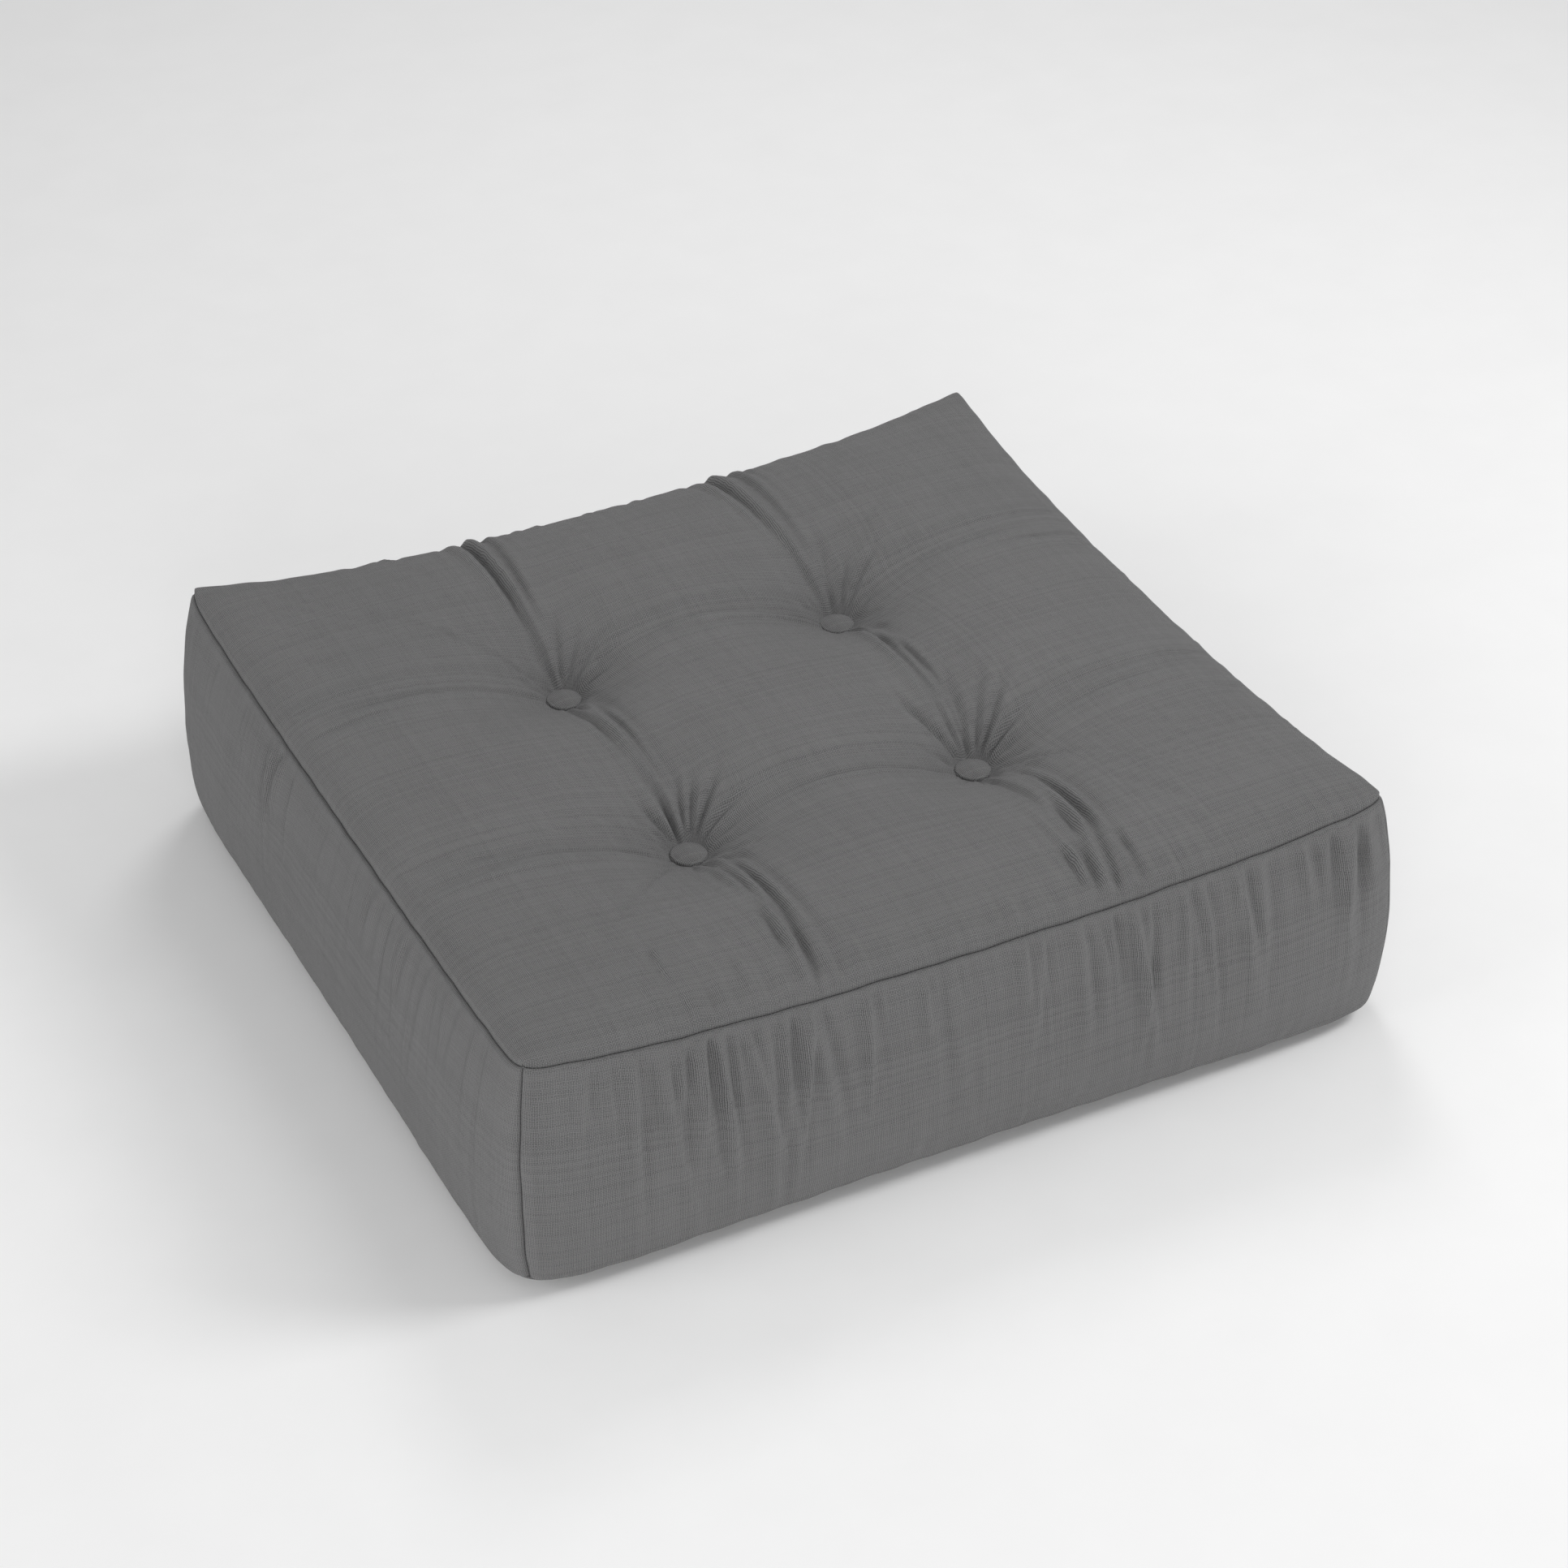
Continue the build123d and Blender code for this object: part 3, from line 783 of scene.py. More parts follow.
@dataclass
class StuffedForm:
    """The stuffed cushion's outer form, before its folds."""

    width: float
    depth: float
    top_edge: float
    bottom_edge: float
    crest: float
    buttons: list[tuple[float, float]]
    top_seat: float
    bottom_seat: float
    plateau: float = 0.215
    sag: dict[Face, float] = field(
        default_factory=lambda: {Face.LEFT: 0.014, Face.RIGHT: 0.020, Face.FRONT: 0.021, Face.BACK: 0.026}
    )
    sag_fade: float = 0.040
    pull_x: float = 0.004
    pull_y: float = 0.003
    shoulder: float = 0.012
    bulge: float = 0.016
    corner_bulge: float = 0.009
    foot: float = 0.014
    corner_foot: float = 0.006
    seam_lift: float = 0.010
    middle_lift: float = 0.006
    seat_r: float = 0.0155
    top_dimple: float = 0.031
    bottom_dimple: float = 0.030
    gather: float = 0.012
    corner_round: float = 0.0065
    corner_lift: float = 0.007
    corner_sharp: int = 32
    corner_flare: int = 8
    bottom_turn: float = 0.018
    easy_side: tuple[float, float] = (-0.45, -0.89)
    zip_half_x: float = 0.300
    zip_flat_z: float = 0.014

    @classmethod
    def from_frame(cls) -> "StuffedForm":
        """Take the driving sizes from the CAD.

        Returns:
            The form.
        """
        low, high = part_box("cover_top_panel")
        front_low, front_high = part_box("border_front")
        seam_turn = 2.4 * MM
        centres = []
        for number in range(1, 5):
            a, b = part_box(f"top_button_cloth_{number}")
            centres.append(((a.x + b.x) / 2, (a.y + b.y) / 2))
        seat_gap = 0.15 * MM
        top_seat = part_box("top_button_cloth_1")[0].z - seat_gap
        bottom_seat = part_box("bottom_button_cloth_1")[1].z + seat_gap
        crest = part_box("border_back_upper")[1].y
        return cls(
            width=high.x - low.x,
            depth=high.y - low.y,
            top_edge=front_high.z + seam_turn,
            bottom_edge=front_low.z - seam_turn,
            crest=crest,
            buttons=centres,
            top_seat=top_seat,
            bottom_seat=bottom_seat,
        )

    @property
    def height(self) -> float:
        """The border's height between its edges."""
        return self.top_edge - self.bottom_edge

    @property
    def middle(self) -> float:
        """The height of the zip's line."""
        return (self.top_edge + self.bottom_edge) / 2

    def inward(self, box: np.ndarray) -> tuple[np.ndarray, np.ndarray, np.ndarray]:
        """How far points on the flat-sided box are from its faces."""
        ex, ey = self.width / 2 - np.abs(box[..., 0]), self.depth / 2 - np.abs(box[..., 1])
        return ex, ey, np.minimum(self.top_edge - box[..., 2], box[..., 2] - self.bottom_edge)

    def from_seams(self, face: Face, box: np.ndarray) -> np.ndarray:
        """How far points of a face are from its nearest seam."""
        ex, ey, ez = self.inward(box)
        return np.minimum(ex, ey) if face.out[2] else np.minimum(ez, ex if face.out[1] else ey)

    def dimple(self, x: np.ndarray, y: np.ndarray, depth: float, spread: float) -> np.ndarray:
        """How far the tufts pull the cloth in.

        Args:
            x: Places across.
            y: Places front to back.
            depth: Depth under a button.
            spread: How wide each dimple opens.

        Returns:
            The depth at each place.
        """
        total = np.zeros_like(x)
        for bx, by in self.buttons:
            rx, ry = x - bx, y - by
            r = np.hypot(rx, ry)
            lean = (rx * self.easy_side[0] + ry * self.easy_side[1]) / (r + 1e-9)
            out = np.maximum(0, r - self.seat_r) / (spread * (1.28 + 0.42 * lean))
            total += depth / (1 + out * out) ** 1.15
        return np.minimum(total, depth)

    def gathered(self, x: np.ndarray, y: np.ndarray, amount: float) -> tuple[np.ndarray, np.ndarray]:
        """Draw cloth towards each button.

        Args:
            x: Places across.
            y: Places front to back.
            amount: The most that a point moves.

        Returns:
            The moved places.
        """
        move_x, move_y = np.zeros_like(x), np.zeros_like(y)
        for bx, by in self.buttons:
            rx, ry = x - bx, y - by
            r = np.hypot(rx, ry) + 1e-9
            pull = amount * np.exp(-(((r - 0.03) / 0.05) ** 2)) * np.minimum(1, r / 0.02)
            pull = np.minimum(pull, 0.6 * r)
            move_x -= pull * rx / r
            move_y -= pull * ry / r
        return x + move_x, y + move_y

    def stand_out(self, s: np.ndarray, tau: np.ndarray) -> np.ndarray:
        """How far a border stands out past its straight side.

        Args:
            s: Place along the border, from -1 to 1.
            tau: Place up the border, from 0 to 1.

        Returns:
            The distance.
        """
        full = 1 - np.abs(s) ** 10
        tau = np.clip(tau, 0, 1)
        belly = self.corner_bulge + (self.bulge - self.corner_bulge) * full
        foot = self.corner_foot + (self.foot - self.corner_foot) * full
        return belly * np.sin(np.pi * tau) ** 0.7 + foot * (1 - tau) ** 1.5

    def bottom_seam(self, s: np.ndarray) -> np.ndarray:
        """Height of the bottom seam along a side."""
        full = 1 - np.abs(s) ** 10
        return self.bottom_edge * (1 - full) + (self.seam_lift + self.middle_lift * (1 - s * s)) * full

    def place(self, face: Face, box: np.ndarray) -> np.ndarray:
        """Where points of the flat-sided box go when the cushion is stuffed.

        Args:
            face: The face they are on.
            box: The points on the box.

        Returns:
            The stuffed points.
        """
        s = box[..., 0] / (self.width / 2)
        t = box[..., 1] / (self.depth / 2)
        tau = (box[..., 2] - self.bottom_edge) / self.height
        if face is Face.TOP:
            points = self._top(s, t)
        elif face is Face.BOTTOM:
            points = self._bottom(s, t)
        else:
            points = self._border(face, s, t, tau)
        tau = np.clip(tau, 0, 1)
        at_corner = self.corner_round * np.abs(s * t) ** self.corner_sharp * (1.1 - 0.25 * tau)
        points[..., 0] -= np.sign(s) * at_corner
        points[..., 1] -= np.sign(t) * at_corner
        lift = self.corner_lift * np.where(t > 0, 1.0, 0.3)
        points[..., 2] += lift * np.abs(s * t) ** self.corner_flare * tau**2
        return points

    def _edges(self, s: np.ndarray, t: np.ndarray) -> tuple[np.ndarray, np.ndarray, np.ndarray]:
        """How far in from the edges places are.

        Args:
            s: Places across, from -1 to 1.
            t: Places front to back, from -1 to 1.

        Returns:
            Distances from the side edges, from the front and back edges, and a soft least of the two.
        """
        ex = (1 - np.abs(s)) * self.width / 2 + 1e-6
        ey = (1 - np.abs(t)) * self.depth / 2 + 1e-6
        return ex, ey, (ex**-3.0 + ey**-3.0) ** (-1 / 3.0)

    def _top(self, s: np.ndarray, t: np.ndarray) -> np.ndarray:
        """Stuff the top panel.

        Args:
            s: Places across, from -1 to 1.
            t: Places front to back, from -1 to 1.

        Returns:
            The stuffed points.
        """
        slack_x, slack_y = 1 - np.abs(t) ** 2.4, 1 - np.abs(s) ** 2.4
        x = s * (self.width / 2 - self.pull_x * slack_x * np.abs(s) ** 3)
        y = t * (self.depth / 2 - self.pull_y * slack_y * np.abs(t) ** 3)
        ex, ey, inside = self._edges(s, t)
        side = np.where(s < 0, self.sag[Face.LEFT], self.sag[Face.RIGHT])
        end = np.where(t < 0, self.sag[Face.FRONT], self.sag[Face.BACK])
        drop = slack_x * side * np.exp(-ex / self.sag_fade) + slack_y * end * np.exp(-ey / self.sag_fade)
        rise = (self.plateau - self.top_edge) * (1 - np.exp(-inside / self.shoulder)) ** 0.7
        z = self.top_edge - drop + rise
        fade = 1 - np.exp(-((inside / 0.03) ** 2))
        z -= fade * self.dimple(x, y, self.plateau - self.top_seat, self.top_dimple)
        x, y = self.gathered(x, y, self.gather)
        return np.stack([x, y, np.maximum(z, self.top_seat)], -1)

    def _bottom(self, s: np.ndarray, t: np.ndarray) -> np.ndarray:
        """Stuff the bottom panel.

        Args:
            s: Places across, from -1 to 1.
            t: Places front to back, from -1 to 1.

        Returns:
            The stuffed points.
        """
        x = s * (self.width / 2 + self.stand_out(t, np.zeros_like(t)) * np.abs(s) ** 3)
        y = t * (self.depth / 2 + self.stand_out(s, np.zeros_like(s)) * np.abs(t) ** 3)
        ex, ey, inside = self._edges(s, t)
        wx, wy = np.exp(-((ex / self.bottom_turn) ** 1.4)), np.exp(-((ey / self.bottom_turn) ** 1.4))
        zs, zt = self.bottom_seam(s), self.bottom_seam(t)
        both = wx * wy * (zs * ex + zt * ey) / (ex + ey)
        z = zt * wx * (1 - wy) + zs * wy * (1 - wx) + both
        fade = 1 - np.exp(-((inside / 0.03) ** 2))
        z += fade * self.dimple(x, y, self.bottom_seat, self.bottom_dimple)
        x, y = self.gathered(x, y, 0.7 * self.gather)
        return np.stack([x, y, np.minimum(z, self.bottom_seat)], -1)

    def _border(self, face: Face, s: np.ndarray, t: np.ndarray, tau: np.ndarray) -> np.ndarray:
        """Stuff one border.

        Args:
            face: Which border.
            s: Places across, from -1 to 1.
            t: Places front to back, from -1 to 1.
            tau: Places up it, from 0 to 1.

        Returns:
            The stuffed points.
        """
        ends = face in (Face.FRONT, Face.BACK)
        along = s if ends else t
        pull = self.pull_y if ends else self.pull_x
        slack = 1 - np.abs(along) ** 2.4
        top = self.top_edge - self.sag[face] * slack
        low = self.bottom_seam(along)
        z = low + (top - low) * tau
        out = self.stand_out(along, tau) - pull * tau * slack
        corner = self.stand_out(np.ones_like(tau), tau)
        if face is Face.BACK:
            upper = self.middle + (top - self.middle) * (2 * tau - 1)
            lower = low + (self.middle - low) * 2 * tau
            z = np.where(tau > 0.5, upper, lower)
            flat = 1 - smooth_step(self.zip_half_x, self.zip_half_x + 0.03, np.abs(s) * self.width / 2)
            flat = flat * (1 - smooth_step(self.zip_flat_z, self.zip_flat_z + 0.035, np.abs(z - self.middle)))
            out = out * (1 - flat) + (self.crest - self.depth / 2) * flat
        if ends:
            x = s * (self.width / 2 + corner * np.abs(s) ** 3)
            y = np.sign(t) * (self.depth / 2 + out)
        else:
            x = np.sign(s) * (self.width / 2 + out)
            y = t * (self.depth / 2 + corner * np.abs(t) ** 3)
        return np.stack([x, y, z], -1)


@dataclass
class ClothRun:
    """A cloth simulation of the whole cover, pulled softly to the stuffed form and tied at the buttons."""

    form: StuffedForm
    cells: tuple[int, int, int] = (117, 110, 31)
    frames: int = 24
    pull_frames: int = 10
    hold: float = 0.40
    growth: float = 0.02
    pressure: float = 3.0
    seed: int = 7
    tied_r: float = 0.011
    jitter: float = 0.0003

    def faces(self) -> dict[Face, tuple[np.ndarray, np.ndarray]]:
        """Box points of every face, with the grid numbers of each point.

        Returns:
            For each face, its grid numbers and its points on the box.
        """
        nx, ny, nz = self.cells
        f = self.form
        made = {}
        for face in Face:
            axis = int(np.argmax(np.abs(face.out)))
            ranges = [np.arange(nx + 1), np.arange(ny + 1), np.arange(nz + 1)]
            ranges[axis] = np.array([self.cells[axis] if face.out[axis] > 0 else 0])
            index = np.stack(np.meshgrid(*ranges, indexing="ij"), -1).squeeze(axis)
            share = index / np.array(self.cells)
            low = np.array([-f.width / 2, -f.depth / 2, f.bottom_edge])
            size = np.array([f.width, f.depth, f.height])
            made[face] = (index, low + share * size)
        return made

    def run(self) -> dict[Face, np.ndarray]:
        """Simulate the cover.

        Returns:
            For each face, how far each grid point moved from the stuffed form.
        """
        nx, ny, _ = self.cells
        number: dict[tuple[int, int, int], int] = {}
        rest, goal, quads, ids = [], [], [], {}
        for face, (index, box) in self.faces().items():
            stuffed = self.form.place(face, box)
            rows, columns = index.shape[:2]
            local = np.empty((rows, columns), int)
            for i in range(rows):
                for j in range(columns):
                    key = tuple(int(n) for n in index[i, j])
                    if key not in number:
                        number[key] = len(rest)
                        rest.append(box[i, j])
                        goal.append(stuffed[i, j])
                    local[i, j] = number[key]
            ids[face] = local
            flip = face in (Face.BOTTOM, Face.FRONT, Face.LEFT)
            flip = flip if face not in (Face.FRONT, Face.BACK) else not flip
            for a, b, c, d in grid_quads(rows, columns, flip):
                quads.append(tuple(int(local.ravel()[n]) for n in (a, b, c, d)))
        rest_points, goal_points = np.array(rest), np.array(goal)
        tied = np.zeros(len(rest), bool)
        height = rest_points[:, 2]
        on_panels = (height > self.form.top_edge - MM) | (height < self.form.bottom_edge + MM)
        for bx, by in self.form.buttons:
            near = np.hypot(goal_points[:, 0] - bx, goal_points[:, 1] - by) < self.tied_r
            tied |= near & on_panels
        for key, where in number.items():
            tied[where] |= key[0] in (0, nx) and key[1] in (0, ny)
        goal_points += np.random.default_rng(self.seed).normal(0, self.jitter, goal_points.shape)
        settled = self._simulate(rest_points, goal_points, quads, tied)
        moved = settled - goal_points
        return {face: moved[local] for face, local in ids.items()}

    def _simulate(self, rest: np.ndarray, goal: np.ndarray, quads: list, tied: np.ndarray) -> np.ndarray:
        """Run Blender's cloth on a throwaway mesh.

        Args:
            rest: Points before the run.
            goal: Where each point is drawn to.
            quads: The mesh's faces.
            tied: Which points reach their goal exactly.

        Returns:
            Where the points settle.
        """
        mesh = bpy.data.meshes.new("cover_cloth_run")
        mesh.from_pydata(rest.tolist(), [], quads)
        cloth = bpy.data.objects.new("cover_cloth_run", mesh)
        scene = bpy.context.scene
        scene.collection.objects.link(cloth)
        group = cloth.vertex_groups.new(name="hold")
        group.add([int(i) for i in np.where(~tied)[0]], self.hold, "REPLACE")
        group.add([int(i) for i in np.where(tied)[0]], 1.0, "REPLACE")
        cloth.shape_key_add(name="Basis")
        stuffed = cloth.shape_key_add(name="stuffed")
        stuffed.data.foreach_set("co", goal.ravel())
        modifier = cloth.modifiers.new("Cloth", "CLOTH")
        settings = modifier.settings
        settings.quality = 5
        settings.mass = 0.3
        settings.air_damping = 2.0
        settings.tension_stiffness = 15.0
        settings.compression_stiffness = 8.0
        settings.shear_stiffness = 5.0
        settings.bending_stiffness = 0.3
        settings.shrink_min = -self.growth
        settings.use_pressure = True
        settings.uniform_pressure_force = self.pressure
        settings.vertex_group_mass = "hold"
        settings.pin_stiffness = 1.0
        settings.effector_weights.gravity = 0.0
        modifier.collision_settings.use_collision = False
        modifier.collision_settings.use_self_collision = False
        modifier.point_cache.frame_end = self.frames + 1
        stuffed.value = 0.0
        stuffed.keyframe_insert("value", frame=1)
        stuffed.value = 1.0
        stuffed.keyframe_insert("value", frame=self.pull_frames)
        for step in range(1, self.frames + 1):
            scene.frame_set(step)
        settled = cloth.evaluated_get(bpy.context.evaluated_depsgraph_get()).to_mesh()
        points = np.empty(len(settled.vertices) * 3, np.float32)
        settled.vertices.foreach_get("co", points)
        bpy.data.objects.remove(cloth)
        bpy.data.meshes.remove(mesh)
        scene.frame_set(1)
        return points.reshape(-1, 3).astype(float)


# Folds


def blurred(field_: np.ndarray, reach: float) -> np.ndarray:
    """Blur a grid of vectors with a soft kernel.

    Args:
        field_: The grid.
        reach: The kernel's spread, in cells.

    Returns:
        The blurred grid.
    """
    half = int(3 * reach)
    kernel = np.exp(-0.5 * (np.arange(-half, half + 1) / reach) ** 2)
    kernel /= kernel.sum()
    result = field_
    for axis in (0, 1):
        pads = [(0, 0)] * result.ndim
        pads[axis] = (half, half)
        padded = np.pad(result, pads, mode="edge")
        length = result.shape[axis]
        result = sum(w * np.take(padded, range(k, k + length), axis) for k, w in enumerate(kernel))
    return result


def resampled(grid: np.ndarray, rows: np.ndarray, columns: np.ndarray) -> np.ndarray:
    """Read a grid between its points, with a cubic curve each way.

    Args:
        grid: The grid of vectors.
        rows: Where to read along the first direction, in cells.
        columns: Where to read along the second direction, in cells.

    Returns:
        The values at each row and column.
    """
    for axis, where in ((0, rows), (1, columns)):
        count = grid.shape[axis]
        base = np.clip(np.floor(where).astype(int), 0, count - 2)
        shape = [1, 1, 1]
        shape[axis] = -1
        f = (where - base).reshape(shape)
        p = [np.take(grid, np.clip(base + k, 0, count - 1), axis) for k in (-1, 0, 1, 2)]
        grid = p[1] + 0.5 * f * (
            p[2] - p[0] + f * (2 * p[0] - 5 * p[1] + 4 * p[2] - p[3] + f * (3 * (p[1] - p[2]) + p[3] - p[0]))
        )
    return grid


@dataclass(frozen=True)
class Fold:
    """A raised fold along a curve in plan, with a valley beside it."""

    start: tuple[float, float]
    middle: tuple[float, float]
    end: tuple[float, float]
    height: float
    width: float
    valley: float = 0.8
    fade_in: float = 0.12
    fade_out: float = 0.3

    def relief(self, x: np.ndarray, y: np.ndarray) -> np.ndarray:
        """Height of the fold at each place.

        Args:
            x: Places across.
            y: Places front to back.

        Returns:
            The height.
        """
        u = np.linspace(0, 1, 25)[:, None]
        a, b, c = (np.array(p) for p in (self.start, self.middle, self.end))
        curve = (1 - u) ** 2 * a + 2 * u * (1 - u) * b + u**2 * c
        near = np.full(x.shape, 1e9)
        across, along = np.zeros_like(x), np.zeros_like(x)
        for k in range(len(curve) - 1):
            step = curve[k + 1] - curve[k]
            length = np.hypot(*step)
            part = np.clip(((x - curve[k, 0]) * step[0] + (y - curve[k, 1]) * step[1]) / length**2, 0, 1)
            dx, dy = x - curve[k, 0] - part * step[0], y - curve[k, 1] - part * step[1]
            distance = np.hypot(dx, dy)
            closer = distance < near
            near = np.where(closer, distance, near)
            signed = (dx * -step[1] + dy * step[0]) / length
            across = np.where(closer, np.sign(signed) * distance, across)
            along = np.where(closer, (k + part) / (len(curve) - 1), along)
        ease = smooth_step(0, self.fade_in, along) * (1 - smooth_step(1 - self.fade_out, 1, along))
        ridge = np.exp(-((across / self.width) ** 2))
        dip = np.exp(-(((across - 1.7 * self.width) / (0.9 * self.width)) ** 2))
        return self.height * ease * (ridge - self.valley * dip)


@dataclass(frozen=True)
class Pleats:
    """Short pleats that run out from one button."""

    centre: tuple[float, float]
    angles: tuple[float, ...]
    depth: float
    reach: float
    seed: int

    def relief(self, x: np.ndarray, y: np.ndarray) -> np.ndarray:
        """Depth of the pleats at each place, as a negative height.

        Args:
            x: Places across.
            y: Places front to back.

        Returns:
            The height.
        """
        rng = np.random.default_rng(self.seed)
        dx, dy = x - self.centre[0], y - self.centre[1]
        r = np.hypot(dx, dy) + 1e-9
        turn = np.arctan2(dy, dx)
        total = np.zeros_like(x)
        around = [(math.radians(a), 1.0) for a in self.angles]
        around += [(k * 2 * math.pi / 17 + rng.normal(0, 0.08), 0.35) for k in range(17)]
        for angle, strength in around:
            bend = rng.normal(0, 1.2)
            gap = np.angle(np.exp(1j * (turn - angle - bend * np.maximum(0, r - 0.02))))
            wide = 0.0014 + 0.046 * r
            length = self.reach * (0.65 + 0.6 * rng.random()) * (0.55 + 0.45 * strength)
            ease = smooth_step(0.0135, 0.021, r) * (1 - smooth_step(0.35 * length, length, r - 0.014))
            deep = self.depth * strength * (0.75 + 0.5 * rng.random())
            forward = np.cos(gap) > 0
            side = np.sin(gap) * r
            valley = np.exp(-((side / wide) ** 2))
            shoulders = 0.5 * np.exp(-((side / (2.3 * wide)) ** 2))
            total += -deep * ease * forward * (valley - shoulders)
        return total


@dataclass(frozen=True)
class Puckers:
    """Small gathers that run away from a seam."""

    count: int
    span: float
    seed: int
    height: float
    reach: float
    width: float
    clusters: tuple[float, ...] = ()

    def relief(self, along: np.ndarray, away: np.ndarray) -> np.ndarray:
        """Height of the gathers.

        Args:
            along: Place along the seam.
            away: Distance from the seam.

        Returns:
            The height.
        """
        rng = np.random.default_rng(self.seed)
        total = np.zeros_like(along)
        half = self.span / 2
        places = [(rng.uniform(-half, half), 0.3 + 0.7 * rng.random()) for _ in range(self.count)]
        for cluster in self.clusters:
            places += [(cluster + rng.normal(0, 0.021), 0.8 + 0.6 * rng.random()) for _ in range(7)]
        for place, strength in places:
            lean = rng.normal(0, 0.09)
            wide = self.width * (0.6 + 0.8 * rng.random())
            length = self.reach * (0.4 + 1.0 * rng.random()) * (0.6 + 0.5 * strength)
            across = along - place - lean * away
            ease = smooth_step(0.0, 0.008, away) * (1 - smooth_step(0.2 * length, length, away))
            ridge = np.exp(-((across / wide) ** 2))
            valley = 0.75 * np.exp(-(((across - 1.5 * wide) / (0.8 * wide)) ** 2))
            total += self.height * strength * ease * (ridge - valley)
        return total


def ripple(x: np.ndarray, seed: int, lengths: Sequence[float]) -> np.ndarray:
    """A smooth uneven wave with unit size.

    Args:
        x: Places along it.
        seed: Which wave.
        lengths: Its wavelengths, in metres.

    Returns:
        The wave.
    """
    rng = np.random.default_rng(seed)
    total = np.zeros_like(x)
    for length in lengths:
        total += rng.uniform(0.6, 1.0) * np.sin(2 * np.pi * x / length + rng.uniform(0, 2 * np.pi))
    return total / len(lengths)


def uneven(x: np.ndarray, y: np.ndarray, seed: int, lengths: Sequence[float]) -> np.ndarray:
    """A smooth uneven surface with unit size, from waves in many directions.

    Args:
        x: Places across.
        y: Places along.
        seed: Which surface.
        lengths: The wavelengths, in metres.

    Returns:
        The heights.
    """
    rng = np.random.default_rng(seed)
    total = np.zeros_like(x)
    for length in lengths:
        for _ in range(3):
            angle = rng.uniform(0, np.pi)
            phase = rng.uniform(0, 2 * np.pi)
            way = x * math.cos(angle) + y * math.sin(angle)
            total += np.sin(2 * np.pi * way / length + phase)
    return total / (2 * len(lengths))


